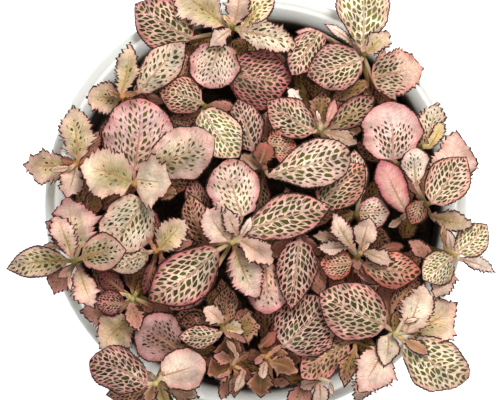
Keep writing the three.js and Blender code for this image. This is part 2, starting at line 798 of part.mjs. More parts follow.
function potSolid() {
  const wallTop = potHeight - rimBandHeight;
  const outerAt = (z) => potInnerRadius(z) + wallThickness;
  const profile = [
    [0, 0],
    [baseRadius - baseEdge, 0],
    [outerAt(baseEdge), baseEdge],
    [outerAt(wallTop), wallTop],
    [rimOuterRadius - 0.4, wallTop + 1],
    [rimOuterRadius, potHeight - 1.4],
    [rimOuterRadius - 1, potHeight],
    [potInnerRadius(potHeight) + 0.9, potHeight],
    [potInnerRadius(potHeight), potHeight - 1.2],
    [potInnerRadius(floorThickness), floorThickness],
    [0, floorThickness],
  ].map(([r, z]) => new THREE.Vector2(r, z));
  const body = new THREE.LatheGeometry(profile, potSides);
  body.rotateX(Math.PI / 2);
  let pot = solidFrom(body);
  for (let i = 0; i < drainHoleCount; i += 1) {
    const angle = (i / drainHoleCount) * Math.PI * 2;
    const x = drainRingRadius * Math.cos(angle);
    const y = drainRingRadius * Math.sin(angle);
    pot = pot.subtract(bodyFromRings([
      ring(x, y, -1, drainHoleRadius, 12),
      ring(x, y, floorThickness + 1, drainHoleRadius, 12),
    ]));
  }
  return pot;
}

function soilSolid() {
  const lowZ = floorThickness + soilGap;
  const positions = [[0, 0, lowZ], [0, 0, soilTop]];
  const triangles = [];
  const ringStart = [];
  const addRing = (radius, height) => {
    ringStart.push(positions.length);
    for (let i = 0; i < soilSides; i += 1) {
      const angle = (i / soilSides) * Math.PI * 2;
      positions.push([radius * Math.cos(angle), radius * Math.sin(angle), height(i)]);
    }
  };
  const facetCut = Math.cos(Math.PI / potSides);
  addRing(potInnerRadius(lowZ) * facetCut - soilGap, () => lowZ);
  addRing(potInnerRadius(soilTop) * facetCut - soilGap, () => soilTop - 1);
  for (const radius of soilRings.slice(1).reverse()) {
    addRing(radius, (i) => soilTop + soilRoughness * smoothNoise(i * 1.9, radius));
  }
  for (let i = 0; i < soilSides; i += 1) {
    const j = (i + 1) % soilSides;
    triangles.push([0, ringStart[0] + j, ringStart[0] + i]);
    for (let k = 0; k + 1 < ringStart.length; k += 1) {
      const a = ringStart[k] + i;
      const b = ringStart[k] + j;
      const c = ringStart[k + 1] + j;
      const d = ringStart[k + 1] + i;
      triangles.push([a, b, c], [a, c, d]);
    }
    const last = ringStart[ringStart.length - 1];
    triangles.push([last + i, last + j, 1]);
  }
  let soil = solidFrom(geometryFrom(positions, triangles));
  for (const stem of stems) {
    soil = soil.subtract(stemHole(stem));
  }
  return soil;
}

const plant = new THREE.Group();
plant.add(meshFrom(potSolid(), "pot", 0xd9dad5, 0.45));
plant.add(meshFrom(soilSolid(), "soil", 0x1a1512, 0.95));

const { leaves, crowns } = layLeaves();
for (const stem of stems) {
  let body = stemSolid(stem, crowns.get(stem));
  for (const leaf of leaves) {
    if (leaf.stem === stem) {
      body = body.add(leafSolid(leaf));
    }
  }
  plant.add(meshFrom(body, stem.name, 0xd9a48f, 0.5));
}

export default plant;
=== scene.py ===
# The looks of a potted nerve plant: its pot, its potting soil and its leafy stems.
# The plan of the leaves is in millimetres, and every mesh is in metres.
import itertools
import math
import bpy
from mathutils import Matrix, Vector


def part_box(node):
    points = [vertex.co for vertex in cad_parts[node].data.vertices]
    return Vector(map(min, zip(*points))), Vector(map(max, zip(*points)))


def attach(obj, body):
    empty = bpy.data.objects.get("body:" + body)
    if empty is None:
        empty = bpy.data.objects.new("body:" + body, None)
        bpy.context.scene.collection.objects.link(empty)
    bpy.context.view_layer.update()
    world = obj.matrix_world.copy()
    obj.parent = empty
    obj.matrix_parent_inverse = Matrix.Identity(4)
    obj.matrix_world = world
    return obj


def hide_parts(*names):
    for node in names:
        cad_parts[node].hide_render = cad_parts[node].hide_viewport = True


bl_info = {
    "name": "Potted Nerve Plant",
    "version": (1, 0, 0),
    "blender": (4, 5, 0),
    "location": "3D View > Sidebar > Nerve Plant",
    "description": "Builds a nerve plant with netted leaves, its pot and a plain studio stage",
    "category": "Add Mesh",
}

import bpy
import numpy as np
from bpy.props import FloatProperty, FloatVectorProperty, IntProperty, PointerProperty

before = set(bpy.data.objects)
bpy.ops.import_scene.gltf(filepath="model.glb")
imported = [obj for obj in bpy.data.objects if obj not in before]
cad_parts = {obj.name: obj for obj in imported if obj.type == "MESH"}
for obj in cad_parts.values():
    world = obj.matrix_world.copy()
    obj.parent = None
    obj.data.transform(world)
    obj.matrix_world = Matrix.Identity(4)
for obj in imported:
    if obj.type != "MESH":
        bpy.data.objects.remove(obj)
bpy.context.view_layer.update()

MM = 0.001

# The pot's height and its rim's radius in metres, from the frame
POT_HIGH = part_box("pot")[1]
POT_HEIGHT = POT_HIGH.z
RIM_RADIUS = POT_HIGH.x

# The top of the soil in millimetres
SOIL_TOP = 85.0

# The canopy in millimetres: a low dome, on which each lower layer lies a step deeper
DOME_TOP = 146.0
DOME_FALL = 0.0045
TOP_LAYER = 8
LAYER_STEP = 2.0
TIP_DROP_PER_LENGTH = 0.1
ARCH_PER_LENGTH = 0.075
FOLD_PER_WIDTH = 0.16

# The stems and the stalks, in millimetres
ROOT_DEPTH = 13.0
STRAIGHT_ABOVE_SOIL = 4.0
LEAN_END_BELOW_DOME = 4.0
BUD_ABOVE_LAST_LEAF = 1.6
STALK_RISE = 0.45
STEM_RINGS = 22
STEM_SIDES = 12
STALK_RINGS = 5

# How clear the leaves lie of each other, of the crowns and of the pot's rim, in millimetres
LEAF_GAP = 2.0
SAME_STEM_GAP = 1.5
OUTLINE_MARGIN = 0.5
CROWN_REACH = 4.0
CROWN_CLEARANCE = 2.6
RIM_CLEARANCE = 2.2
RIM_BAND_INSIDE = 6.0
RIM_BAND_OUTSIDE = 2.0
MOST_LIFTS = 200
SMALLEST_LIFT = 0.02

# The points of a leaf that are held clear of the others
SAMPLE_STATIONS = 13
SAMPLE_SHARES = (-1.0, -0.5, 0.0, 0.5, 1.0)
STALK_SAMPLE_STEP = 1.5

# The pairs of older leaves down the stems, under the canopy, in millimetres
LOWER_PAIR_DEPTH = 12.0
LOWER_PAIR_STEP = 8.0
LOWEST_PAIR_ABOVE_SOIL = 7.0
LOWEST_POINT_ABOVE_SOIL = 3.0
LOWER_STALK = 3.0
LOWER_WIDTH_PER_LENGTH = 0.6
LOWER_LEAF_REACH = 56.5
LOWER_STEM_CLEARANCE = 3.2
LOWER_LEAF_CLEARANCE = 3.6
LOWER_LEVEL_CLEARANCE = 2.6
LOWER_TRIES = 8
LOWER_TRY_TURN = math.pi / 9.0
# Painted shade: the lower pairs take only dark and brown looks, for leaves under the canopy.
LOWER_LOOKS = ("brown_net", "dark", "dusky_net", "brown_net", "olive_dark_net")

# The first number of each kind of leaf. A leaf's own random draws start from its number.
NEWEST_LEAF = 1000
DEEP_LEAF = 2000
LOWER_LEAF = 3000
LEAF_SEED = 11
LOWER_SEED = 28
CLOD_SEED = 5
CRUMB_SEED = 21

# The blades in millimetres: broad ones have more columns of points than slim ones
BROAD_HALF_WIDTH = 3.0
BROAD_COLUMNS = 7
SLIM_COLUMNS = 4
LEAST_HALF_WIDTH = 0.05
NECK_HALF_WIDTH = 0.75
NECK_HALF_THICKNESS = 0.6
FULL_PITCH_LENGTH = 22.0

# How far the cells of the leaves' net stray from their even rows, from 0 to 1
NET_RANDOMNESS = 0.65
# A threshold without cells, far from the margin and from the midrib, for stalks and stems
PLAIN_SHAPE = (1.0, 4.0, 4.0)

# The pot's and the soil's turned meshes. The soil ends a small gap inside the pot.
ARC_POINTS = 5
POT_SECTORS = 160
DRAIN_HOLE_SIDES = 40
SOIL_SECTORS = 150
SOIL_RINGS = 45
SOIL_GAP = 0.3 * MM
SOIL_BEVEL = 1.2 * MM

# The clods on the soil: the length and the height of each kind of wave in millimetres
CLOD_WAVES = ((22.0, 0.35), (13.0, 0.3), (8.0, 0.22), (5.0, 0.15), (3.0, 0.1))
WAVES_PER_LENGTH = 4

# The crumbs: their least radius and how much more the largest has, and their gap to the wall
CRUMB_LEAST = 0.45
CRUMB_SPREAD = 1.3
CRUMB_MARGIN = 2.5 * MM

# The floor's half side and the light's place in metres, and the light's tilt in degrees
FLOOR_HALF_SIDE = 3.0
KEY_PLACE = (0.25, 0.5, 1.3)
KEY_TILT = (-22.0, 11.0, 0.0)
# The middle of the picture and the camera's sensor in millimetres
VIEW_MIDDLE = (-1.8, 1.5)
SENSOR_WIDTH = 36.0

# Each outline: how pointed its tip is, how deep its teeth are and how wide in millimetres,
# its ruffle and slow waves, whether its sides fold up or down, and, where they don't follow
# from the leaf's proportions, how fast it widens from its base and narrows to its tip.
OUTLINES = {
    "net": {"point": 0.6, "tooth": 0.26, "pitch": 0.95, "ruffle": 0.07, "wobble": 0.02, "fold": -1},
    "round": {"point": 0.25, "tooth": 0.34, "pitch": 1.05, "ruffle": 0.09, "wobble": 0.04, "fold": -1},
    "frill": {"point": 0.7, "tooth": 0.8, "pitch": 1.2, "ruffle": 0.17, "wobble": 0.09, "fold": 1},
    "small": {"point": 0.6, "tooth": 0.4, "pitch": 1.05, "ruffle": 0.11, "wobble": 0.06, "fold": -1},
    "wedge": {
        "point": 0.2, "tooth": 0.3, "pitch": 1.0, "ruffle": 0.08, "wobble": 0.04, "fold": -1,
        "rise": 0.9, "fall": 0.4,
    },
    "drop": {
        "point": 0.5, "tooth": 0.45, "pitch": 1.1, "ruffle": 0.07, "wobble": 0.03, "fold": -1,
        "rise": 0.45, "fall": 0.7,
    },
}

# Each look: the colours of the veins near the midrib, of the outer blade, of the margin, of
# the cells and of the leaf's centre, how strong the centre is, how large the cells are (0 for
# none), how far they reach to the margin and to the tip, and how bright the leaf is.
# Painted shade: looks such as brown_net, brown, dark, olive_brown, magenta_net and magenta are darker,
# browner copies for leaves that lie in shadow, and a look's brightness is partly painted shade, set
# lower for such leaves.
LOOKS = {
    "pink_net": ("cream", "pink", "rose", "dark_green", "cream", 0.4, 1.0, 0.85, 1.0, 1.0),
    "pale_net": ("cream", "pale_pink", "pink", "green", "cream", 0.4, 0.9, 0.8, 0.95, 0.95),
    "bold_net": ("pale_pink", "pink", "rose", "black_green", "cream", 0.2, 1.05, 0.9, 1.0, 0.9),
    "cream_net": (
        "pale_cream", "cream", "pink", "bright_green", "pale_cream",
        0.5, 1.0, 0.85, 1.0, 1.07,
    ),
    "coral_net": ("cream", "coral", "coral", "dark_green", "cream", 0.3, 1.0, 0.88, 1.0, 0.84),
    "red_net": ("peach", "red_coral", "red_coral", "dark_green", "amber", 0.5, 0.85, 0.85, 0.95, 1.12),
    "blush_net": ("cream", "pink", "magenta", "dark_green", "cream", 0.5, 0.98, 0.85, 0.95, 1.0),
    "coral_base_net": (
        "peach", "pale_coral", "coral", "dark_green", "amber",
        0.5, 0.9, 0.85, 0.5, 0.85,
    ),
    "olive_net": ("olive_cream", "cream", "pink", "green", "yellow_green", 0.85, 0.72, 0.8, 0.85, 1.12),
    "olive_dark_net": (
        "olive_cream", "pink", "magenta", "black_green", "olive_cream",
        0.6, 1.0, 0.85, 1.0, 0.7,
    ),
    "magenta_net": ("pink", "rose", "magenta", "black_green", "dusky", 0.2, 1.0, 0.9, 1.0, 0.88),
    "brown_net": ("dusky", "dusky", "dusky", "black_green", "olive", 0.3, 0.95, 0.85, 1.0, 1.1),
    "dusky_net": ("dusky", "dusky", "rose", "dark_green", "olive_cream", 0.5, 0.85, 0.8, 0.95, 1.2),
    "pink_dots": ("cream", "pale_pink", "rose", "green", "cream", 0.4, 0.58, 0.85, 0.95, 1.0),
    "pink_faint": ("pink", "pale_pink", "magenta", "olive", "olive_cream", 0.3, 0.45, 0.6, 0.8, 1.15),
    "pink_base_dots": (
        "pale_pink", "pale_pink", "rose", "black_green", "pale_pink",
        0.3, 0.85, 0.6, 0.55, 0.97,
    ),
    "cream_dots": ("pale_cream", "cream", "pink", "green", "olive_cream", 0.5, 0.6, 0.8, 0.9, 0.95),
    "mauve_dots": ("pale_pink", "mauve", "rose", "green", "pink", 0.3, 0.64, 0.85, 0.9, 0.97),
    "olive_dots": ("olive_cream", "peach", "coral", "black_green", "olive", 0.8, 0.6, 0.6, 0.7, 0.78),
    "dusky_dots": ("dusky", "mauve", "rose", "black_green", "dusky", 0.3, 0.62, 0.7, 0.7, 0.6),
    "pale_olive_dots": (
        "cream", "pale_pink", "pink", "green", "yellow_green",
        0.8, 0.55, 0.6, 0.7, 0.85,
    ),
    "pale_pink": ("cream", "pale_pink", "pink", "olive", "cream", 0.3, 0.0, 0.0, 0.0, 1.0),
    "pale_pink_olive": (
        "cream", "pale_pink", "rose", "olive", "yellow_green",
        0.75, 0.3, 0.4, 0.5, 0.98,
    ),
    "pink": ("pale_pink", "pink", "rose", "olive", "pink", 0.2, 0.0, 0.0, 0.0, 1.1),
    "cream": ("pale_cream", "cream", "pink", "olive", "olive_cream", 0.5, 0.3, 0.4, 0.5, 0.95),
    "cream_olive_dots": (
        "olive_cream", "cream", "pink", "black_green", "yellow_green",
        0.85, 0.5, 0.45, 0.6, 0.78,
    ),
    "cream_olive": ("olive_cream", "cream", "pink", "olive", "yellow_green", 0.9, 0.35, 0.4, 0.5, 0.95),
    "white": ("pale_cream", "white_pink", "pink", "olive", "cream", 0.3, 0.0, 0.0, 0.0, 1.06),
    "peach": ("peach", "peach", "pink", "olive", "amber", 0.4, 0.0, 0.0, 0.0, 1.0),
    "peach_olive": (
        "olive_cream", "peach", "pink", "black_green", "yellow_green",
        0.85, 0.5, 0.4, 0.5, 0.94,
    ),
    "coral": ("peach", "coral", "rose", "olive", "peach", 0.4, 0.0, 0.0, 0.0, 1.2),
    "coral_cream": ("pink", "rose", "magenta", "olive", "peach", 0.6, 0.2, 0.3, 0.4, 0.9),
    "white_dots": (
        "pale_cream", "white_pink", "pink", "green", "olive_cream",
        0.5, 0.45, 0.7, 0.8, 1.05,
    ),
    "dusky": ("dusky", "dusky", "rose", "olive", "dusky", 0.3, 0.4, 0.6, 0.7, 1.0),
    "peach_net": ("cream", "pale_coral", "coral", "dark_green", "peach", 0.3, 0.95, 0.88, 1.0, 1.0),
    "magenta": ("dusky", "magenta", "magenta", "black_green", "dusky", 0.2, 0.7, 0.7, 0.9, 0.65),
    "brown_peach": ("peach", "brown", "peach", "olive", "amber", 0.5, 0.3, 0.5, 0.5, 1.0),
    "brown_red": ("brown", "red_coral", "brown", "olive", "brown", 0.3, 0.3, 0.5, 0.5, 0.7),
    "brown": ("brown", "brown", "dusky", "black_green", "brown", 0.3, 0.6, 0.7, 0.8, 1.1),
    "rust": ("brown", "brown", "coral", "olive", "olive", 0.7, 0.0, 0.0, 0.0, 0.92),
    "olive_brown": ("olive", "dusky", "dusky", "black_green", "olive", 0.8, 0.6, 0.7, 0.8, 1.15),
    "dark": ("olive", "brown", "brown", "black_green", "olive", 0.6, 0.8, 0.9, 1.0, 1.2),
    "amber": ("amber", "coral", "peach", "olive", "yellow_green", 0.5, 0.0, 0.0, 0.0, 0.9),
    "yellow_green": (
        "yellow_green", "olive_cream", "pink", "olive", "yellow_green",
        0.8, 0.0, 0.0, 0.0, 1.25,
    ),
}

# Every leafy stem: its node, its tint, the crown at its top, its root, its leaves as
# (base x, base y, tip x, tip y, width, layer, outline, look), and its newest small leaves.
STEMS = [
    ("stem_back_a", "olive", (-7, 53.5), (-9.5, 50.5), [
        (-19.5, 50.5, -37, 62, 17, 4, "net", "pink_net"),
        (-13, 50.5, -23, 51, 5, 2, "frill", "dark"),
        (-4, 54, 6, 65, 9, 4, "net", "olive_net"),
        (-6.5, 55, -5, 67, 9, 5, "frill", "peach"),
        (-11, 48.7, -14, 35, 16.5, 5, "round", "pink_dots"),
        (-10, 54.5, -26.5, 66, 13, 7, "frill", "cream_olive"),
        (-5, 52.3, 13, 47.3, 10.5, 7, "frill", "cream_dots"),
        (-8, 52.5, -14.3, 47.5, 6, 8, "frill", "pale_pink"),
    ], [
        (-7.6, 54.6, -10, 57.6, 2, 9, "small", "yellow_green"),
    ]),
    ("stem_back_b", "amber", (-40, 32.5), (-36, 29), [
        (-40.5, 30, -42, 22, 6, 3, "small", "pale_pink"),
        (-38, 31, -32, 31.5, 5, 3, "small", "brown_red"),
        (-41.5, 32, -51.8, 32.5, 11, 5, "frill", "peach_olive"),
        (-34.7, 34, -21.3, 49.7, 12, 6, "net", "cream_dots"),
        (-40.2, 33.5, -38, 49, 8, 7, "frill", "cream_olive"),
    ], [
        (-41.2, 32.8, -45, 34.5, 2.4, 8, "small", "amber"),
        (-39, 33, -35.6, 33.6, 2.4, 8, "small", "brown"),
    ]),
    ("stem_back_c", "olive", (-15.2, 29.6), (-15.2, 29.6), [
        (-23.8, 36, -21, 46.2, 8, 2, "small", "brown_net"),
        (-25, 35.8, -30.8, 37.5, 4.8, 2, "small", "brown"),
        (-16.4, 30.7, -29.3, 34.3, 12.5, 5, "net", "coral_net"),
        (-16, 28.2, -5.3, 13.7, 15, 5, "net", "cream_net"),
    ], []),
    ("stem_back_d", "brown", (-9.5, 39), (-9.5, 39), [
        (-12, 38, -23, 40, 7, 1, "small", "dark"),
        (-8.5, 42, -3, 51, 8, 1, "small", "dark"),
        (-7, 39.5, 11, 38, 19.5, 3, "net", "magenta_net"),
    ], []),
    ("stem_back_e", "yellow_green", (19, 22.3), (19, 22.3), [
        (13.5, 29, 9.5, 35.5, 5, 4, "frill", "white"),
        (18.7, 25, 20, 35, 8, 4, "frill", "olive_brown"),
        (22.5, 23, 36, 33.5, 9.5, 4, "net", "olive_dark_net"),
        (21, 21.8, 31.5, 18.3, 5.5, 5, "frill", "brown_peach"),
        (17, 21.8, 3.3, 31.5, 13, 6, "net", "pink_net"),
        (21, 24, 23.6, 32.5, 4, 7, "small", "coral_cream"),
    ], [
        (19.3, 24, 17.8, 29, 1.8, 8, "small", "white"),
    ]),
    ("stem_back_f", "olive", (32.6, 45.2), (29, 41), [
        (36, 36, 42.5, 28.5, 7, 2, "small", "brown_net"),
        (20.5, 51.5, 11.6, 52.8, 3.8, 3, "small", "pink"),
        (19.5, 52.5, 11, 38.5, 12, 4, "net", "pink_net"),
        (34, 37, 22.5, 31.3, 7, 3, "small", "olive_brown"),
        (30, 48, 20.5, 55.3, 3.6, 5, "small", "white"),
        (35, 38, 51.3, 41.5, 16, 6, "frill", "coral_base_net"),
        (32.2, 46.5, 32, 69, 18, 6, "wedge", "cream_net"),
        (33.6, 46, 40.8, 52.3, 7.5, 7, "frill", "peach_olive"),
        (31.6, 43.6, 15.2, 38, 15.5, 8, "net", "pink_net"),
    ], []),
    ("stem_left_a", "amber", (-36.2, 6.2), (-35, 6.5), [
        (-48.5, 5.5, -49.8, -4.5, 6.5, 1, "small", "olive_brown"),
        (-31, 5, -23.3, 3.3, 6.5, 3, "small", "olive_brown"),
        (-36.7, 10.3, -35, 32, 23, 5, "round", "mauve_dots"),
        (-31.5, 11.5, -12.7, 20.5, 17, 6, "round", "pale_olive_dots"),
        (-33.5, 1.5, -45, -12.5, 17.5, 6, "round", "cream_dots"),
        (-37.3, 6.8, -53.3, 11.8, 16.5, 8, "frill", "cream_olive"),
        (-35.7, 7.7, -25, 6.8, 16, 8, "frill", "cream"),
    ], []),
    ("stem_left_b", "amber", (-54.3, 12.3), (-47, 10.5), [
        (-51.8, 14, -47.5, 22.5, 6.5, 3, "small", "dusky"),
        (-56.8, 12, -71.5, 12.5, 11.3, 5, "frill", "peach_olive"),
        (-54.5, 10.8, -57, 1.8, 9, 6, "frill", "pale_pink"),
        (-53.5, 14, -56, 30.3, 11.7, 7, "frill", "cream_olive_dots"),
        (-55.3, 12.9, -59, 13.9, 3.2, 8, "small", "brown_red"),
    ], [
        (-55.4, 11.3, -62.5, 10.6, 2.6, 8, "small", "brown_peach"),
    ]),
    ("stem_left_c", "olive", (-54.5, -17), (-47, -15), [
        (-57.5, -19.5, -61.8, -27.5, 8, 4, "frill", "dusky"),
        (-60.5, -12.5, -65.3, -12.7, 3.6, 5, "small", "pale_pink"),
        (-58, -9, -64.3, -5, 5, 5, "small", "dusky"),
        (-53, -13, -57, 2.2, 16, 6, "frill", "pale_pink_olive"),
        (-57, -16.8, -76.5, -19.8, 10.5, 7, "net", "olive_net"),
        (-52, -15.7, -38.6, -13.6, 12.5, 7, "net", "olive_dots"),
        (-55.3, -15.2, -60.3, -2.3, 8.5, 8, "frill", "pale_pink_olive"),
        (-53.3, -19, -48.8, -31.6, 8.8, 8, "frill", "pale_pink_olive"),
        (-55, -18.2, -60, -22.3, 4, 8, "small", "coral"),
    ], [
        (-56.3, -20.5, -55.6, -26.3, 2, 3, "small", "pale_pink"),
    ]),
    ("stem_left_d", "yellow_green", (-37.3, -28.3), (-36, -27.5), [
        (-36, -26.3, -30.8, -21.5, 6, 1, "small", "dark"),
        (-40.5, -26, -47.8, -20.5, 7.5, 3, "small", "magenta"),
        (-41.5, -32.5, -53.8, -32.6, 8.5, 4, "frill", "dusky"),
        (-37.5, -34.3, -47.8, -43.8, 13, 5, "frill", "cream_olive"),
        (-39.8, -29.5, -48.8, -28.7, 8.5, 6, "net", "magenta_net"),
        (-37.8, -30, -34.6, -37.6, 6.5, 7, "frill", "dusky"),
    ], [
        (-38.2, -27.4, -41, -26, 1.8, 8, "small", "yellow_green"),
    ]),
    ("stem_left_e", "amber", (-30, -13.8), (-30, -13.5), [
        (-31, -11.8, -30.5, -1.5, 6, 2, "small", "magenta"),
        (-30.6, -16.3, -33.6, -27.5, 5, 3, "small", "magenta"),
        (-32.5, -14.3, -43.8, -19.3, 10, 5, "net", "cream_dots"),
        (-28.5, -13, -20.5, -4.5, 10.5, 6, "frill", "cream_olive"),
    ], [
        (-30.6, -12.4, -33, -9.2, 1.8, 8, "small", "brown"),
    ]),
    ("stem_middle_a", "yellow_green", (-7, -11), (-7, -11), [
        (-14.5, -2, -20.5, 8.3, 7.5, 2, "small", "magenta_net"),
        (-14.5, -12, -20.5, 3.5, 10, 3, "net", "brown_net"),
        (2.5, -15, 3, -32.8, 13.5, 6, "wedge", "pink_faint"),
        (-11.8, -18.5, -26, -32.5, 11, 6, "net", "dusky_net"),
        (-4.2, -3.5, -9, 13.5, 17, 7, "round", "pink_dots"),
        (-3, -8, 22.5, 0.3, 14.5, 8, "net", "pink_net"),
        (-11.5, -13.5, -32.3, -29, 17, 8, "net", "blush_net"),
        (-8.3, -10.5, -14.7, -0.3, 10.5, 8, "frill", "pale_pink"),
        (-6, -13, 0.6, -28.6, 11.5, 8, "frill", "pale_pink_olive"),
        (-5.2, -9, -9.3, -0.4, 6, 9, "frill", "pale_pink"),
        (-4.5, -10.5, 5.8, -17.5, 8.5, 9, "frill", "peach"),
        (-4.8, -9.7, -1.4, -3, 3.4, 9, "small", "white"),
    ], []),
    ("stem_middle_b", "brown", (2.6, 11), (2.6, 11), [
        (-1, 16.5, -6, 32, 12, 3, "net", "bold_net"),
        (3.4, 18.3, 12.3, 18.2, 11, 4, "frill", "red_net"),
        (1.2, 12.6, 3.2, 19.5, 7.5, 5, "frill", "brown_red"),
        (3.6, 8.6, 28.3, 14.6, 16, 8, "wedge", "pale_net"),
    ], []),
    ("stem_middle_c", "brown", (12.5, -8.7), (12.5, -8.7), [
        (18, -16.5, 20, -28, 7, 3, "small", "dusky"),
        (10.5, -9.8, 3.5, -16, 6, 3, "small", "dusky"),
        (19.5, 0, 32.5, 12.3, 15, 5, "net", "coral_net"),
        (12.9, -10.5, 11, -32, 13, 7, "drop", "bold_net"),
    ], []),
    ("stem_middle_d", "olive", (30.2, -2.9), (30.2, -2.9), [
        (31, 2.5, 29.8, 17, 9, 4, "net", "pale_net"),
        (31, -2.6, 40.4, -2.5, 10.8, 6, "net", "pink_dots"),
    ], []),
    ("stem_middle_e", "olive", (30.3, -15.5), (30, -15.5), [
        (31.5, -17.5, 34, -21.5, 3, 5, "small", "brown"),
        (31.5, -12, 34, -3.6, 8.5, 6, "small", "peach"),
        (28.6, -17.3, 19, -17.5, 11, 6, "net", "red_net"),
        (27.5, -11.3, 16, -9.3, 4.5, 6, "frill", "brown_peach"),
        (32.3, -17.8, 50.5, -20.5, 12.5, 6, "net", "red_net"),
        (27.2, -12.3, 18, -12.8, 5.5, 7, "frill", "pale_pink"),
        (29, -13, 22.2, -1.8, 7, 8, "frill", "pale_pink_olive"),
        (32, -13.6, 41.5, -17.8, 6, 8, "frill", "pale_pink_olive"),
        (29.8, -16.3, 30.6, -19.6, 3.6, 8, "small", "dusky"),
        (29.8, -19.5, 36.8, -24.2, 4.6, 4, "small", "dusky"),
    ], [
        (31, -14.5, 34.2, -11, 1.8, 9, "small", "amber"),
    ]),
    ("stem_right_a", "olive", (42.6, 12.2), (42.6, 12.2), [
        (41, 13.5, 39.3, 31, 19.5, 6, "round", "pink_base_dots"),
    ], []),
    ("stem_right_b", "olive", (50.9, 0.4), (47.5, 0.4), [
        (44.3, -3.6, 39.8, -6.7, 3.2, 4, "small", "brown_peach"),
        (55, 0.8, 60.5, 23, 15, 6, "frill", "pale_pink"),
        (45, -2.2, 37.5, 13.8, 10, 7, "round", "coral_cream"),
        (47.8, 5.5, 46.7, 17, 9.5, 7, "wedge", "white_dots"),
        (52.8, -3.4, 66.5, -6, 7.5, 7, "frill", "peach_olive"),
        (49.4, 0.9, 46.3, -5.8, 7.5, 8, "net", "red_net"),
        (52, 0.8, 62.3, 14.7, 14, 8, "net", "peach_net"),
    ], []),
    ("stem_right_c", "yellow_green", (50.7, 17.6), (46.5, 19), [
        (50, 21.5, 49.7, 28.7, 4, 5, "small", "pink"),
        (52, 19.5, 54.5, 31.3, 9.5, 5, "frill", "cream_dots"),
        (51.8, 17.2, 56, 25.5, 5, 6, "frill", "yellow_green"),
    ], []),
    ("stem_right_d", "yellow_green", (60.1, -15.2), (50.5, -13), [
        (54, -16.8, 45.5, -10.8, 6, 4, "small", "dusky"),
        (58.5, -19, 54.2, -28.3, 9, 7, "frill", "peach"),
        (61, -14.2, 70.7, -6, 11, 6, "net", "cream_net"),
        (61.5, -16.3, 73.5, -21, 4.8, 6, "frill", "white"),
        (59, -14, 57.3, -7, 4.2, 7, "small", "pale_pink"),
        (58.8, -16, 50, -22.3, 11.5, 8, "net", "cream_net"),
    ], [
        (57, -13, 56.3, -5, 2.2, 4, "small", "olive_brown"),
    ]),
    ("stem_front_a", "yellow_green", (41.8, -38.6), (38.5, -35.5), [
        (41.3, -31, 50.5, -22, 8, 3, "small", "brown_net"),
        (37, -46, 30, -61, 8, 4, "frill", "peach"),
        (38.8, -43, 30.5, -56, 13.5, 6, "frill", "pale_pink"),
        (46.8, -38.8, 61.5, -29.5, 14, 6, "frill", "peach_olive"),
        (44.5, -41, 65, -53, 17, 7, "round", "cream_net"),
        (38.9, -36.3, 19, -25.5, 19, 7, "net", "pink_net"),
        (42, -37.5, 42.3, -31.3, 5, 7, "small", "olive_brown"),
        (44.8, -38.3, 50.3, -23, 11.5, 8, "frill", "cream"),
        (39.9, -39.3, 38.3, -49, 8, 8, "drop", "cream"),
        (44, -40.3, 52.3, -45.4, 4.8, 8, "small", "amber"),
    ], [
        (43.5, -35.5, 49, -34, 1.8, 9, "small", "white"),
    ]),
    ("stem_front_b", "brown", (29.8, -40.8), (29, -39.5), [
        (27.6, -41.5, 13.5, -51.8, 12.5, 5, "round", "dusky_net"),
        (30, -41.5, 37, -44, 6, 4, "small", "dark"),
        (29.8, -43.5, 26.3, -55, 6.5, 5, "frill", "olive_brown"),
    ], []),
    ("stem_front_c", "amber", (3.2, -45.5), (3, -44), [
        (5.2, -53.5, 10.6, -54.2, 4.2, 4, "small", "dusky"),
        (8.5, -42.5, 21, -28.3, 20, 5, "round", "bold_net"),
        (5, -44.7, 13, -49.3, 4, 6, "small", "olive_brown"),
        (5.3, -43.6, 9.8, -44.6, 4, 6, "small", "brown"),
        (2, -50, 1.5, -58.5, 8.5, 6, "frill", "rust"),
        (4.5, -47, 12.8, -50.2, 7, 7, "frill", "rust"),
        (1, -42.7, 6.3, -37.5, 4.8, 7, "small", "brown_red"),
        (1.9, -45.2, -0.4, -47.8, 3, 8, "small", "dusky"),
        (2.6, -47.5, 2, -52.6, 4, 8, "small", "peach"),
    ], [
        (4.4, -44.4, 7.8, -41.6, 2.4, 8, "small", "brown_net"),
    ]),
    ("stem_front_d", "amber", (-7, -48), (-6.5, -46.5), [
        (-8.5, -51, -10.5, -59.5, 5, 5, "frill", "dusky"),
        (-7.8, -47.6, -14.8, -51, 9, 6, "frill", "rust"),
        (-5.8, -50.3, -6.5, -58.5, 4.5, 6, "small", "brown"),
        (-8, -46.6, -12.8, -45, 4.8, 7, "frill", "dusky"),
        (-5.7, -46.6, -1.8, -43.8, 3, 7, "small", "brown"),
        (-3.6, -49.5, -6.4, -56.8, 3.6, 7, "small", "peach"),
    ], [
        (-5.6, -45.2, -9.2, -39.6, 2.4, 8, "small", "brown_peach"),
        (-8.5, -50.6, -12, -52.2, 1.8, 8, "small", "dusky"),
    ]),
    ("stem_front_e", "olive", (-10, -36), (-10, -35.5), [
        (-5.8, -37.3, 1.3, -36.3, 9.5, 4, "frill", "olive_brown"),
        (-8.5, -34.5, -8.3, -24, 8.5, 4, "small", "brown_net"),
        (-13, -35.6, -19, -33.8, 3.5, 5, "small", "brown_net"),
        (-10.6, -38.5, -23.4, -39.4, 8.3, 8, "net", "pink_net"),
        (-10.2, -34.8, -16, -30.3, 6.8, 8, "frill", "peach"),
        (-9.3, -36.8, -3.5, -37.8, 6.8, 8, "frill", "peach_olive"),
    ], [
        (-8.8, -37.9, -2.3, -41.5, 2.4, 7, "small", "dusky"),
    ]),
    ("stem_front_f", "brown", (-21, -44), (-21, -43.5), [
        (-19, -44, -12, -43, 5, 2, "small", "dark"),
        (-23.5, -43.5, -35.5, -36, 16.5, 6, "round", "dusky_dots"),
    ], []),
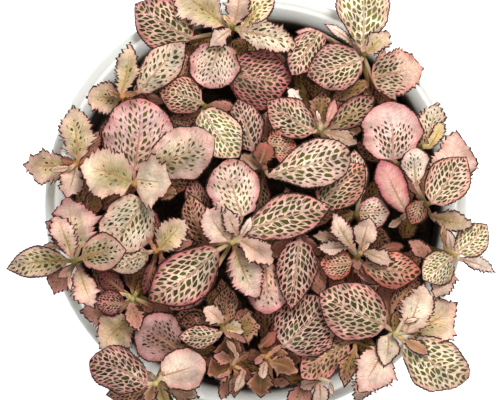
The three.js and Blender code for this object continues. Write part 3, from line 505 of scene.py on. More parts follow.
    ("stem_front_g", "yellow_green", (-30, -53.3), (-26.5, -46.5), [
        (-30.3, -56, -32, -71, 14, 4, "net", "pink_net"),
        (-32, -51.3, -39.5, -49, 3.4, 5, "small", "pale_pink"),
        (-33, -55, -46, -58, 8, 5, "net", "brown_net"),
        (-27.5, -54.5, -17, -58.5, 6.5, 5, "frill", "brown_peach"),
        (-29, -55.3, -26.5, -62, 5, 6, "small", "yellow_green"),
        (-32.5, -53.3, -50.2, -46.8, 14.5, 6, "round", "bold_net"),
        (-28, -51, -15.2, -46.5, 14, 7, "round", "pale_pink"),
        (-31.2, -54.8, -33.5, -60, 4.5, 7, "small", "amber"),
    ], [
        (-29.4, -52.3, -27.4, -49.5, 2.4, 8, "small", "yellow_green"),
    ]),
    ("stem_front_h", "olive", (18.5, -52), (18, -49.5), [
        (15, -54.5, 9, -66, 9.5, 3, "frill", "dusky"),
        (18.2, -53.8, 13, -55.5, 5, 4, "small", "pale_pink"),
        (19.3, -54, 19.7, -62, 6, 4, "small", "pale_pink"),
    ], [
        (22.3, -53, 23.3, -58, 1.8, 3, "small", "pale_pink"),
    ]),
]

# Leaves deep in the plant, most in dark and brown looks that are painted shade: each one's stem, then
# its row as above
DEEP_LEAVES = [
    ("stem_back_a", (-19, 49.5, -22.5, 41.5, 5, -1, "small", "brown")),
    ("stem_back_b", (-37, 34, -29, 38.5, 7.5, -1, "net", "brown_net")),
    ("stem_back_e", (15.5, 30, 12, 41, 6, -1, "small", "dark")),
    ("stem_back_f", (27, 40, 21.5, 46, 6, -1, "small", "brown")),
    ("stem_middle_b", (3, 19, 4, 29, 6.5, 0, "net", "brown_net")),
    ("stem_middle_e", (27.5, -20, 22, -25.5, 6, 0, "small", "dusky")),
    ("stem_right_b", (48, -3.5, 44.5, -10.5, 7, -1, "small", "dark")),
    ("stem_left_d", (-37.8, -25.5, -35, -16, 8, -1, "small", "brown")),
    ("stem_left_d", (-34.8, -29.3, -31.3, -33, 4.2, 1, "small", "dusky")),
    ("stem_front_e", (-12.3, -32.5, -12.5, -25, 6, 0, "small", "dark")),
    ("stem_front_e", (-8, -34, -5, -28, 5, 1, "small", "brown")),
    ("stem_front_a", (40.3, -33, 38.5, -23.5, 8, 1, "small", "dusky")),
    ("stem_front_f", (-34, -41, -35.8, -47, 2, 3, "small", "pale_pink")),
    ("stem_back_c", (-17, 27.5, -25.5, 25.3, 6.5, 2, "net", "brown_net")),
    ("stem_back_c", (-13, 30.5, -6, 29.5, 4.5, 1, "small", "dusky")),
    ("stem_back_b", (-35, 32.5, -27, 31, 4, 0, "small", "dusky")),
    ("stem_middle_b", (1, 11.5, -5, 15.3, 5.5, 3, "frill", "brown_peach")),
    ("stem_left_a", (-40, 3.8, -48.5, -1.5, 5, 0, "small", "brown")),
    ("stem_left_a", (-50.5, 7.5, -52.5, 0.5, 3.5, 0, "small", "olive_brown")),
    ("stem_back_d", (2, 43.5, 10, 44, 5.5, 0, "small", "dusky")),
    ("stem_back_e", (24, 31.5, 14.5, 36, 6, 1, "small", "dark")),
    ("stem_back_e", (24.5, 21.5, 32.5, 22.5, 5, 2, "small", "brown_peach")),
    ("stem_back_f", (34, 38.5, 34.5, 32, 5, 1, "small", "olive_brown")),
    ("stem_middle_d", (29, -2.5, 22.5, -4, 6, 2, "small", "olive_brown")),
    ("stem_middle_d", (31.5, -0.5, 38, 3.2, 4.5, 3, "small", "dusky")),
    ("stem_right_b", (49.5, 2.5, 46, 9.5, 4.5, 3, "small", "dusky")),
    ("stem_middle_c", (14.5, -9.5, 20, -15.5, 5, 2, "small", "dusky")),
    ("stem_middle_e", (30, -18, 29, -24.5, 6, 1, "small", "brown_red")),
    ("stem_middle_e", (36, -14.5, 45.5, -12.3, 4.5, 2, "small", "brown_red")),
    ("stem_left_e", (-28, -13.5, -18, -10.8, 5, 3, "small", "dusky")),
    ("stem_left_d", (-32, -30.3, -24, -31.3, 3.6, 2, "small", "dusky")),
    ("stem_front_e", (-6.5, -34.5, -0.5, -32.3, 5.5, 3, "frill", "dusky")),
    ("stem_front_d", (-7, -46.8, -8.2, -39.2, 9.5, 4, "frill", "rust")),
    ("stem_front_d", (-6, -45.5, -4.5, -40.3, 4, 3, "frill", "dusky")),
    ("stem_front_d", (-10, -47.5, -16, -48, 6, 2, "frill", "brown_red")),
    ("stem_front_d", (-5, -49, -1.5, -54, 4.5, 2, "frill", "brown_red")),
    ("stem_front_c", (1.5, -45.8, -4, -45.5, 5, 2, "small", "brown_red")),
    ("stem_front_c", (6, -46, 14, -47, 6.5, 3, "frill", "rust")),
    ("stem_front_c", (4.5, -44, 7.5, -39.5, 3, 3, "small", "brown_red")),
    ("stem_front_h", (14.5, -53, 6.5, -52.5, 5, 0, "small", "dark")),
]


def srgb(red, green, blue):
    """A screen colour from 0 to 255 as the linear colour that Blender's shaders take."""
    share = np.array([red, green, blue]) / 255.0
    linear = np.where(share <= 0.04045, share / 12.92, ((share + 0.055) / 1.055) ** 2.4)
    return tuple(float(value) for value in linear)


def screen_colour(name, red, green, blue, place="leaves"):
    """A colour property, with its default given as a screen colour."""
    return FloatVectorProperty(
        name=name,
        description=f"{name} of the {place}",
        subtype="COLOR",
        size=3,
        min=0.0,
        max=1.0,
        default=srgb(red, green, blue),
    )


def length(name, description, default):
    """A size property in metres."""
    return FloatProperty(
        name=name,
        description=description,
        default=default,
        min=0.0,
        subtype="DISTANCE",
        unit="LENGTH",
    )


def number_of(name, description, default, most):
    """A property that counts like things."""
    return IntProperty(name=name, description=description, default=default, min=0, max=most)


def brightness(name, description, default, unit="NONE"):
    """A property for the power or the strength of a light."""
    return FloatProperty(name=name, description=description, default=default, min=0.0, unit=unit)


class NervePlantColours(bpy.types.PropertyGroup):
    """The colours that the looks of the leaves are mixed from, and the pot's and the soil's."""

    pale_cream: screen_colour("Pale Cream", 248, 230, 206)
    cream: screen_colour("Cream", 243, 218, 192)
    white_pink: screen_colour("White Pink", 248, 222, 208)
    pale_pink: screen_colour("Pale Pink", 239, 201, 189)
    pink: screen_colour("Pink", 229, 177, 161)
    rose: screen_colour("Rose", 217, 142, 140)
    magenta: screen_colour("Magenta", 194, 98, 106)
    mauve: screen_colour("Mauve", 231, 187, 181)
    peach: screen_colour("Peach", 240, 209, 188)
    coral: screen_colour("Coral", 239, 164, 147)
    pale_coral: screen_colour("Pale Coral", 238, 196, 175)
    red_coral: screen_colour("Red Coral", 213, 118, 106)
    dusky: screen_colour("Dusky Pink", 190, 136, 118)
    brown: screen_colour("Brown", 144, 100, 74)
    amber: screen_colour("Amber", 198, 146, 88)
    olive: screen_colour("Olive", 130, 112, 52)
    olive_cream: screen_colour("Olive Cream", 214, 190, 142)
    yellow_green: screen_colour("Yellow Green", 198, 182, 116)
    bright_green: screen_colour("Bright Green", 118, 118, 50)
    green: screen_colour("Green", 88, 84, 32)
    dark_green: screen_colour("Dark Green", 70, 66, 26)
    black_green: screen_colour("Black Green", 54, 38, 14)
    midrib: screen_colour("Midrib", 172, 120, 84)
    edge_line: screen_colour("Edge Line", 46, 34, 14)
    pot_white: screen_colour("White", 229, 231, 226, "pot")
    pot_cloud: screen_colour("Faint Clouds", 222, 223, 217, "pot")
    pot_dust: screen_colour("Specks of Dust", 150, 138, 120, "pot")
    pot_painted_glow: screen_colour("Painted Glow on the Inner Face", 250, 252, 248, "pot")
    pot_painted_shade: screen_colour("Painted Shade above the Soil", 44, 34, 26, "pot")
    peat: screen_colour("Peat", 32, 27, 23, "soil")
    peat_clump: screen_colour("Paler Clumps", 66, 52, 41, "soil")
    fibre: screen_colour("Fibres", 128, 98, 70, "soil")


class NervePlantSizes(bpy.types.PropertyGroup):
    """The sizes of the leaves, the stems and the pot that a user would change."""

    blade_thickness: length("Blade Thickness", "Thickness of a leaf blade", 0.36 * MM)
    rib_depth: length("Rib Depth", "How far the midrib stands out below the blade", 0.4 * MM)
    groove_depth: length("Groove Depth", "How deep the midrib lies in the upper face", 0.25 * MM)
    quilt_height: length("Quilt Height", "How far the blade swells between lateral veins", 0.16 * MM)
    stem_radius: length("Stem Radius", "Radius of a stem at the soil", 1.2 * MM)
    stem_tip_radius: length("Stem Tip Radius", "Radius of a stem at its crown", 0.7 * MM)
    row_pitch: length("Cell Row Pitch", "Distance of the rows of cells along the midrib", 2.05 * MM)
    cell_pitch: length("Cell Pitch", "Distance of the cells within a row", 1.7 * MM)
    wall_thickness: length("Wall Thickness", "Thickness of the pot's wall", 2.6 * MM)
    base_radius: length("Base Radius", "Radius of the pot's base", 45.5 * MM)
    rim_band_height: length("Rim Band Height", "Height of the band round the pot's rim", 9.0 * MM)
    rim_band_step: length("Rim Band Step", "How far the rim band stands out", 1.6 * MM)
    floor_thickness: length("Floor Thickness", "Thickness of the pot's floor", 3.2 * MM)
    drain_hole_radius: length("Drain Hole Radius", "Radius of the holes in the floor", 4.0 * MM)
    drain_ring_radius: length("Drain Ring Radius", "Radius of the ring of holes", 30.0 * MM)
    drain_hole_count: number_of("Drain Holes", "Number of holes in the pot's floor", 6, 12)
    crumb_count: number_of("Soil Crumbs", "Number of loose crumbs on the soil", 700, 2000)


class NervePlantStage(bpy.types.PropertyGroup):
    """The floor, the lights and the camera."""

    camera_distance: length("Camera Distance", "Height of the camera above the leaves", 1.0)
    view_width: length("View Width", "Width of the picture at the leaves", 0.15)
    canopy_level: length("Canopy Level", "Height of the leaves' main layer", 0.135)
    key_size: length("Key Light Size", "Diameter of the large soft light", 0.42)
    key_power: brightness("Key Light", "Power of the large soft light", 13.5, "POWER")
    fill_strength: brightness("Fill Light", "Brightness of the white surroundings", 0.45)
    floor_glow: brightness("Floor Glow", "Brightness of the floor's own light", 0.62)
    floor_colour: FloatVectorProperty(
        name="Floor Colour",
        description="Colour of the plain floor",
        subtype="COLOR",
        size=3,
        min=0.0,
        max=1.0,
        default=(0.92, 0.92, 0.92),
    )


def smooth_step(low, high, value):
    """Goes from 0 at low to 1 at high along 3t² - 2t³, and also falls where low is above high."""
    share = np.clip((value - low) / (high - low), 0.0, 1.0)
    return share * share * (3.0 - 2.0 * share)


def dome_height(x, y):
    """The canopy's top: its crown height less a share of the squared distance from the axis."""
    return DOME_TOP - DOME_FALL * (x * x + y * y)


def width_share(rise, fall, s):
    """The share of the half width at station s: s^rise · (1 - s)^fall over its peak value."""
    peak = rise / (rise + fall)
    scale = peak**rise * (1.0 - peak) ** fall
    along = np.clip(s, 0.0, 1.0)
    return along**rise * (1.0 - along) ** fall / scale


class Stem:
    """One stem: its node, its tint, and its crown and root in the plan."""

    def __init__(self, index, node, tint, crown, root):
        self.index = index
        self.node = node
        self.tint = tint
        self.crown = np.array(crown, float)
        self.root = np.array(root, float)
        self.leaves = []
        self.crown_z = 0.0

    def middle(self, z):
        """The stem's middle at heights z: upright, then a smooth step out to the crown."""
        start = SOIL_TOP + STRAIGHT_ABOVE_SOIL
        end = dome_height(*self.crown) - LEAN_END_BELOW_DOME
        sway = smooth_step(start, end, np.asarray(z, float))
        return self.root + (self.crown - self.root) * np.expand_dims(sway, -1)


class Leaf:
    """One leaf: its place, its heights and its look, in millimetres."""

    def __init__(self, stem, row, number):
        base_x, base_y, tip_x, tip_y, width, layer, outline, look = row
        self.stem = stem
        self.number = number
        self.layer = layer
        self.look = look
        self.outline = OUTLINES[outline]
        self.base = np.array([base_x, base_y], float)
        self.tip = np.array([tip_x, tip_y], float)
        self.length = float(np.hypot(*(self.tip - self.base)))
        # A broad leaf is blunt at both ends, a slender one tapers
        slender = 1.0 - width / self.length
        self.rise = self.outline.get("rise", min(max(0.4 + 0.5 * slender, 0.36), 0.75))
        self.fall = self.outline.get("fall", min(max(0.32 + 0.26 * slender, 0.28), 0.55))
        self.along = (self.tip - self.base) / self.length
        self.across = np.array([-self.along[1], self.along[0]])
        self.half_width = width / 2.0
        self.fold = self.outline["fold"] * FOLD_PER_WIDTH
        self.stalk = float(np.hypot(*(self.base - stem.crown)))
        depth = (TOP_LAYER - layer) * LAYER_STEP
        self.base_z = dome_height(base_x, base_y) - depth
        self.tip_z = dome_height(tip_x, tip_y) - depth - TIP_DROP_PER_LENGTH * self.length

    def stalk_height(self, from_base):
        """The stalk falls evenly from the blade's base to the stem."""
        return self.base_z - STALK_RISE * from_base

    def samples(self):
        """Points of the blade on a grid and of its stalk: place, height and station."""
        even = np.arange(SAMPLE_STATIONS) / (SAMPLE_STATIONS - 1.0)
        s = np.repeat(even, len(SAMPLE_SHARES))
        q = np.tile(SAMPLE_SHARES, SAMPLE_STATIONS) * width_share(self.rise, self.fall, s)
        reach = (s * self.length)[:, None]
        side = (q * self.half_width)[:, None]
        blade = self.base + self.along * reach + self.across * side
        blade_z = height_on_blade(self, s, q)
        steps = int(self.stalk / STALK_SAMPLE_STEP)
        share = np.arange(1, steps + 1) / (steps + 1.0)
        root = self.stem.middle(self.stalk_height(self.stalk))
        stalk = self.base + (root - self.base) * share[:, None]
        stalk_z = self.stalk_height(share * self.stalk)
        places = np.concatenate([blade, stalk])
        heights = np.concatenate([blade_z, stalk_z])
        stations = np.concatenate([s, np.zeros(steps)])
        return places, heights, stations


def height_on_blade(leaf, s, q):
    """The line from base to tip, an arch 4s(1 - s) along it and a fold q² across it."""
    line = leaf.base_z * (1.0 - s) + leaf.tip_z * s
    middle = 4.0 * s * (1.0 - s)
    arch = ARCH_PER_LENGTH * leaf.length * middle
    return line + arch + leaf.fold * leaf.half_width * q * q * middle


class LaidLeaves:
    """The leaves laid so far, each property as one array."""

    PLAN = ("base", "along", "across", "length", "half_width", "rise", "fall")
    HEIGHTS = ("base_z", "tip_z", "fold")

    def __init__(self, leaves):
        for name in self.PLAN + self.HEIGHTS:
            values = [getattr(leaf, name) for leaf in leaves]
            setattr(self, name, np.array(values))
        self.stem = np.array([leaf.stem.index for leaf in leaves])
        self.points = np.concatenate([leaf.laid_places for leaf in leaves])
        self.heights = np.concatenate([leaf.laid_heights for leaf in leaves])
        owners = [np.full(len(leaf.laid_heights), leaf.stem.index) for leaf in leaves]
        self.point_stem = np.concatenate(owners)


def inside_outline(blade, s, q):
    """Whether stations s and shares q lie on a blade, with a small margin round it."""
    margin = OUTLINE_MARGIN / blade.half_width
    end = OUTLINE_MARGIN / blade.length
    on_length = (s >= -end) & (s <= 1.0 + end)
    return on_length & (np.abs(q) <= width_share(blade.rise, blade.fall, s) + margin)


def gaps_to(same_stem):
    """The gap that a leaf keeps from others, smaller within its own stem."""
    return np.where(same_stem, SAME_STEM_GAP, LEAF_GAP)


def at_crown(places, stem):
    """Whether points lie so near a stem's crown that its own leaves may meet there."""
    return np.hypot(*(places - stem.crown).T) < CROWN_REACH


def above_blades(leaf, sampled, laid):
    """How far each of the leaf's points lies too low above each laid blade."""
    places, heights, stations = sampled
    offset = places[:, None, :] - laid.base[None, :, :]
    s = np.einsum("knd,nd->kn", offset, laid.along) / laid.length
    q = np.einsum("knd,nd->kn", offset, laid.across) / laid.half_width
    same = laid.stem == leaf.stem.index
    counts = inside_outline(laid, s, q) & ~(at_crown(places, leaf.stem)[:, None] & same)
    below = height_on_blade(laid, s, q) + gaps_to(same)
    needs = np.where(counts, below - heights[:, None], -1.0)
    return needs.ravel(), np.repeat(stations, len(laid.length))


def above_points(leaf, laid):
    """How far the leaf's blade lies too low above each laid point."""
    offset = laid.points - leaf.base
    s = offset @ leaf.along / leaf.length
    q = offset @ leaf.across / leaf.half_width
    same = laid.point_stem == leaf.stem.index
    counts = inside_outline(leaf, s, q) & ~(at_crown(laid.points, leaf.stem) & same)
    below = laid.heights + gaps_to(same)
    return np.where(counts, below - height_on_blade(leaf, s, q), -1.0), np.clip(s, 0.0, 1.0)


def above_crown(leaf, stem):
    """How far the leaf's blade lies too low above another stem's crown."""
    offset = stem.crown - leaf.base
    s = np.array([offset @ leaf.along / leaf.length])
    q = np.array([offset @ leaf.across / leaf.half_width])
    below = stem.crown_z + CROWN_CLEARANCE
    counts = inside_outline(leaf, s, q)
    return np.where(counts, below - height_on_blade(leaf, s, q), -1.0), np.clip(s, 0.0, 1.0)


def above_rim(sampled):
    """How far each of the leaf's points over the pot's rim lies too low above it."""
    places, heights, stations = sampled
    radius = np.hypot(*places.T)
    rim = RIM_RADIUS / MM
    over_rim = (radius > rim - RIM_BAND_INSIDE) & (radius < rim + RIM_BAND_OUTSIDE)
    return np.where(over_rim, POT_HEIGHT / MM + RIM_CLEARANCE - heights, -1.0), stations


def worst_shortfall(leaf, sampled, laid, stems):
    """How far the leaf's worst point lies too low above what is laid, and its station."""
    found = [above_rim(sampled)]
    if laid is not None:
        found += [above_blades(leaf, sampled, laid), above_points(leaf, laid)]
    for stem in stems:
        if stem is not leaf.stem and stem.crown_z > 0.0:
            found.append(above_crown(leaf, stem))
    needs = np.concatenate([need for need, _ in found])
    stations = np.concatenate([station for _, station in found])
    worst = int(np.argmax(needs))
    return needs[worst], stations[worst]


def lay_leaves():
    """Lays all leaves from the lowest layer up and the newest small ones on them.

    A leaf that would cross one below it is raised at its base and its tip, in the shares
    that its worst point asks for, until nothing is too low. The deep leaves stay where
    their layers put them, and the older pairs down the stems come last.
    """
    stems = []
    grown = []
    newest = []
    for index, (node, tint, crown, root, rows, new_rows) in enumerate(STEMS):
        stem = Stem(index, node, tint, crown, root)
        stems.append(stem)
        for row in rows:
            grown.append(Leaf(stem, row, len(grown)))
        for row in new_rows:
            newest.append(Leaf(stem, row, NEWEST_LEAF + len(newest)))
    order = sorted(grown, key=lambda leaf: (leaf.layer, leaf.number)) + newest
    placed = []
    laid = None
    for leaf in order:
        for _ in range(MOST_LIFTS):
            sampled = leaf.samples()
            need, s = worst_shortfall(leaf, sampled, laid, stems)
            if need < SMALLEST_LIFT:
                break
            lift = need / ((1.0 - s) ** 2 + s**2)
            leaf.base_z += lift * (1.0 - s)
            leaf.tip_z += lift * s
        leaf.laid_places, leaf.laid_heights, _ = sampled
        leaf.stem.leaves.append(leaf)
        placed.append(leaf)
        laid = LaidLeaves(placed)
        if leaf.number < NEWEST_LEAF:
            reach = leaf.stalk_height(leaf.stalk) + BUD_ABOVE_LAST_LEAF
            leaf.stem.crown_z = max(leaf.stem.crown_z, reach)
    by_node = {stem.node: stem for stem in stems}
    for number, (node, row) in enumerate(DEEP_LEAVES):
        by_node[node].leaves.append(Leaf(by_node[node], row, DEEP_LEAF + number))
    add_lower_pairs(stems)
    return stems


def is_clear(leaf, sampled, stems, others):
    """Whether a lower leaf misses the wall, the soil, the other stems and the other leaves."""
    places, heights, _ = sampled
    if np.hypot(*places.T).max() > LOWER_LEAF_REACH:
        return False
    if heights.min() < SOIL_TOP + LOWEST_POINT_ABOVE_SOIL:
        return False
    for stem in stems:
        gaps = np.hypot(*(places - stem.middle(heights)).T)
        if stem is not leaf.stem and gaps.min() < LOWER_STEM_CLEARANCE:
            return False
    middle = (leaf.base + leaf.tip) / 2.0
    near = np.hypot(*(others[:, :2] - middle).T) < leaf.length
    others = others[near]
    apart = np.hypot(*(places[:, None] - others[None, :, :2]).transpose(2, 0, 1))
    level = np.abs(heights[:, None] - others[None, :, 2])
    return not np.any((apart < LOWER_LEAF_CLEARANCE) & (level < LOWER_LEVEL_CLEARANCE))


def lower_leaf(stem, level, angle, size, droop, look, number):
    """A leaf of a lower pair: it leaves the stem at a level and an angle, and droops."""
    along = np.array([math.cos(angle), math.sin(angle)])
    base = stem.middle(level) + along * LOWER_STALK
    tip = base + along * size
    leaf = Leaf(stem, (*base, *tip, LOWER_WIDTH_PER_LENGTH * size, 0, "net", look), number)
    leaf.stalk = LOWER_STALK
    leaf.base_z = level + STALK_RISE * LOWER_STALK
    leaf.tip_z = leaf.base_z - droop
    return leaf


def add_lower_pairs(stems):
    """Adds opposite pairs of older leaves down each stem, each a quarter turn on from the last.

    The highest pair stands a fixed depth below the dome, and the others follow at even
    steps down to the soil. A leaf turns on in steps until it is clear, or is left out.
    """
    draw = np.random.default_rng(LOWER_SEED)
    sampled = [leaf.samples() for stem in stems for leaf in stem.leaves]
    others = np.concatenate([np.column_stack(sample[:2]) for sample in sampled])
    number = LOWER_LEAF
    for stem in stems:
        turn = draw.uniform(0.0, math.pi)
        level = dome_height(*stem.crown) - LOWER_PAIR_DEPTH - draw.uniform(0.0, 4.0)
        while level > SOIL_TOP + LOWEST_PAIR_ABOVE_SOIL:
            for side in (0.0, math.pi):
                size = draw.uniform(9.0, 14.0)
                droop = size * draw.uniform(0.1, 0.8)
                look = LOWER_LOOKS[int(draw.integers(len(LOWER_LOOKS)))]
                for step in range(LOWER_TRIES):
                    angle = turn + side + step * LOWER_TRY_TURN
                    leaf = lower_leaf(stem, level, angle, size, droop, look, number)
                    sampled = leaf.samples()
                    if is_clear(leaf, sampled, stems, others):
                        others = np.concatenate([others, np.column_stack(sampled[:2])])
                        stem.leaves.append(leaf)
                        break
                number += 1
            turn += math.pi / 2.0
            level -= LOWER_PAIR_STEP


def quads_between(rings):
    """The faces between each two rings of point numbers. Each ring closes on itself."""
    here, ahead = rings[:-1], rings[1:]
    corners = [here, np.roll(here, -1, 1), np.roll(ahead, -1, 1), ahead]
    return np.stack(corners, -1).reshape(-1, 4)


def smooth_mesh(name, points, faces):
    """A new mesh from points in metres and faces, smooth shaded."""
    mesh = bpy.data.meshes.new(name)
    mesh.from_pydata(points.tolist(), [], faces)
    mesh.polygons.foreach_set("use_smooth", np.ones(len(mesh.polygons), bool))
    return mesh


class Shape:
    """Gathers closed tubes of points and their painted values into one mesh."""

    COLOURS = ("vein_colour", "cell_colour")
    VECTORS = ("net_place", "net_shape")

    def __init__(self):
        self.points = []
        self.faces = []
        self.ends = []
        self.values = {name: [] for name in self.COLOURS + self.VECTORS}
        self.count = 0

    def add_tube(self, rings, values):
        """Joins rings of equal count in order, closes both ends, and keeps each value."""
        stations, around = rings.shape[:2]
        index = np.arange(stations * around).reshape(stations, around) + self.count
        self.faces.append(quads_between(index))
        self.ends += [index[0][::-1].tolist(), index[-1].tolist()]
        self.points.append(rings.reshape(-1, 3))
        for name, value in values.items():
            width = value.shape[-1]
            whole = np.broadcast_to(value, (stations, around, width))
            self.values[name].append(whole.reshape(-1, width))
        self.count += stations * around

    def mesh(self, name):
        """The gathered tubes as a mesh in metres, smooth shaded, with its values as attributes."""
        faces = np.concatenate(self.faces).tolist() + self.ends
        mesh = smooth_mesh(name, np.concatenate(self.points) * MM, faces)
        for value_name in self.COLOURS:
            attribute = mesh.attributes.new(value_name, "FLOAT_COLOR", "POINT")
            value = np.concatenate(self.values[value_name])
            opaque = np.concatenate([value, np.ones((len(value), 1))], 1)
            attribute.data.foreach_set("color", opaque.astype(np.float32).ravel())
        for value_name in self.VECTORS:
            attribute = mesh.attributes.new(value_name, "FLOAT_VECTOR", "POINT")
            value = np.concatenate(self.values[value_name])
            attribute.data.foreach_set("vector", value.astype(np.float32).ravel())
        mesh.update()
        return mesh


def mixed(first, second, share):
    """Goes from the first colour to the second by a share, point by point."""
    share = np.asarray(share)[..., None]
    return first * (1.0 - share) + second * share


def leaf_stations(leaf, draw):
    """Two stations for each tooth of uneven width: its notch, then its point nearer the tip.

    The widths go from 0.5 to 1.5 parts. The second result says how far the margin lies inside
    the outline at each station, in shares of the tooth's depth and for both sides: from 0.5
    to 1.15 in a notch, and at a point 0.3 less a share of u^2.5, where u is a random number
    from 0 to 1. So a few points stand far out, and further on a frilled outline.
    """
    teeth = max(4, round(leaf.length / leaf.outline["pitch"]))
    width = draw.uniform(0.5, 1.5, teeth)
    start = np.cumsum(width) - width
    s = np.stack([start, start + 0.78 * width], 1).ravel() / width.sum()
    spike = 1.9 if leaf.outline["tooth"] > 0.6 else 0.6
    point = 0.3 - spike * draw.uniform(0.0, 1.0, (teeth, 2)) ** 2.5
    notch = np.stack([draw.uniform(0.5, 1.15, (teeth, 2)), point], 1).reshape(-1, 2)
    return np.append(s, 1.0), np.concatenate([notch, [[1.0, 1.0]]])


def half_widths(leaf, s, notch, phase, draw):
    """The left and the right half width at each station, as two columns.

    Each is the outline's share, drawn in past s = 0.4 by (1 - ((s - 0.4) / 0.6)²)^point,
    times the leaf's half width with two slow waves, less the teeth. Near the base it is at
    least the neck's.
    """
    outline = leaf.outline
    rise = leaf.rise * draw.uniform(0.94, 1.06)
    fall = leaf.fall * draw.uniform(0.94, 1.08)
    share = width_share(rise, fall, s)
    share = share * (1.0 - np.clip((s - 0.4) / 0.6, 0.0, 1.0) ** 2) ** outline["point"]
    turns = 2.0 * math.pi * s
    left = np.sin(1.7 * turns + phase[0]) + 0.6 * np.sin(3.3 * turns + phase[1])
    right = np.sin(1.9 * turns + phase[2]) + 0.6 * np.sin(2.9 * turns + phase[3])
    slow = np.stack([left, right], 1) + draw.uniform(-1.0, 1.0) * np.array([1.0, -1.0])
    waved = share[:, None] * leaf.half_width * (1.0 + outline["wobble"] * slow)
    depth = min(outline["tooth"], 0.16 * leaf.half_width) * smooth_step(0.02, 0.15, s)
    toothed = np.maximum(waved, LEAST_HALF_WIDTH) - depth[:, None] * notch
    neck = NECK_HALF_WIDTH * (1.0 - smooth_step(0.0, 0.1, s))[:, None]
    return np.maximum(np.maximum(toothed, LEAST_HALF_WIDTH), neck)


class BladeGrid:
    """The points of a blade by their stations s down it and shares v across it.

    Here q is the distance from the midrib in half widths of the leaf. The net's rows lean to
    the tip by |q| (0.6 + 0.42 |q|) half widths, and its columns draw closer by 1 + 0.3 |q|.
    Both pitches are smaller on a short leaf.
    """

    def __init__(self, leaf, sizes, s, v, halves):
        self.s = s[:, None]
        self.v = v
        self.half = np.where(v > 0.0, halves[:, 1:], halves[:, :1])
        self.side = self.half * v
        self.q = self.side / leaf.half_width
        self.reach = np.broadcast_to(self.s * leaf.length, self.side.shape)
        self.from_edge = self.half * (1.0 - np.abs(v))
        self.scale = float(np.clip(leaf.length / FULL_PITCH_LENGTH, 0.4, 1.15)) ** 0.7
        rel = np.abs(self.q)
        lean = rel * leaf.half_width * (0.6 + 0.42 * rel)
        spread = rel * leaf.half_width * (1.0 + 0.3 * rel)
        self.row = (self.reach - lean) / (sizes.row_pitch / MM * self.scale)
        self.column = np.sign(v) * spread / (sizes.cell_pitch / MM * self.scale)


def blade_heights(leaf, sizes, grid, phase):
    """The heights of a blade's middle surface.

    The line from base to tip with its arch, a fold |q|^1.15 across it, a roll with q, a wave
    along it, a swelling between the lateral veins and a ruffle that grows with |v|^2.2 to
    the margin, less a groove of e^-(side / 0.6)² along the midrib.
    """
    s, v, q = grid.s, grid.v, grid.q
    turns = 2.0 * math.pi * s
    middle = 4.0 * s * (1.0 - s)
    steep = 2.2 if leaf.fold > 0.0 else 1.8
    z = height_on_blade(leaf, s, 0.0 * q)
    z = z + leaf.fold * steep * leaf.half_width * np.abs(q) ** 1.15 * middle
    z = z + 0.2 * math.sin(phase[5]) * leaf.half_width * q * np.sqrt(middle)
    z = z + 0.03 * leaf.length * np.sin(1.4 * turns + phase[7]) * middle
    swelling = sizes.quilt_height / MM * grid.scale * np.cos(2.0 * math.pi * grid.row)
    z = z + swelling * np.sin(math.pi * np.abs(v)) * smooth_step(0.0, 0.15, s)
    waves = max(1.6, leaf.length / 5.0)
    swing = np.sin(waves * turns + phase[6] + np.where(v > 0.0, phase[7], 0.0))
    ruffle = min(leaf.outline["ruffle"] * leaf.half_width, 1.0) * np.abs(v) ** 2.2
    z = z + ruffle * swing * smooth_step(0.05, 0.25, s)
    groove = sizes.groove_depth / MM * np.exp(-((grid.side / 0.6) ** 2))
    return z - groove * smooth_step(1.0, 0.6, s)


def both_faces(place, upper_z, lower_z):
    """Rings of the upper face's points from edge to edge, then the lower face's back."""
    upper = np.concatenate([place, upper_z[..., None]], -1)
    lower = np.concatenate([place, lower_z[..., None]], -1)
    return np.concatenate([upper, lower[:, -2:0:-1]], 1)


def blade_rings(leaf, sizes, grid, phase):
    """The blade's rings round its middle surface, bent sideways by sin(πs) and s³.

    Its half thickness follows sqrt(1 - v⁸) across it and grows at the neck. The midrib
    stands out below by (1 - s)^1.5 · e^-(side / 0.55)².
    """
    s, v = grid.s, grid.v
    z = blade_heights(leaf, sizes, grid, phase)
    half = sizes.blade_thickness / MM / 2.0
    body = half + (NECK_HALF_THICKNESS - half) * (1.0 - smooth_step(0.0, 0.12, s))
    body = body * np.sqrt(np.clip(1.0 - v**8, 0.0, 1.0))
    rib = sizes.rib_depth / MM * (1.0 - s) ** 1.5 * np.exp(-((grid.side / 0.55) ** 2))
    rib = rib * (np.abs(v) < 0.999)
    bend = 0.05 * leaf.length * math.sin(phase[4]) * np.sin(math.pi * s)
    bend = bend + 0.03 * leaf.length * math.cos(phase[4]) * s**3
    along = leaf.along * grid.reach[..., None]
    across = leaf.across * (grid.side + bend)[..., None]
    return both_faces(leaf.base + along + across, z + body, z - body - rib)


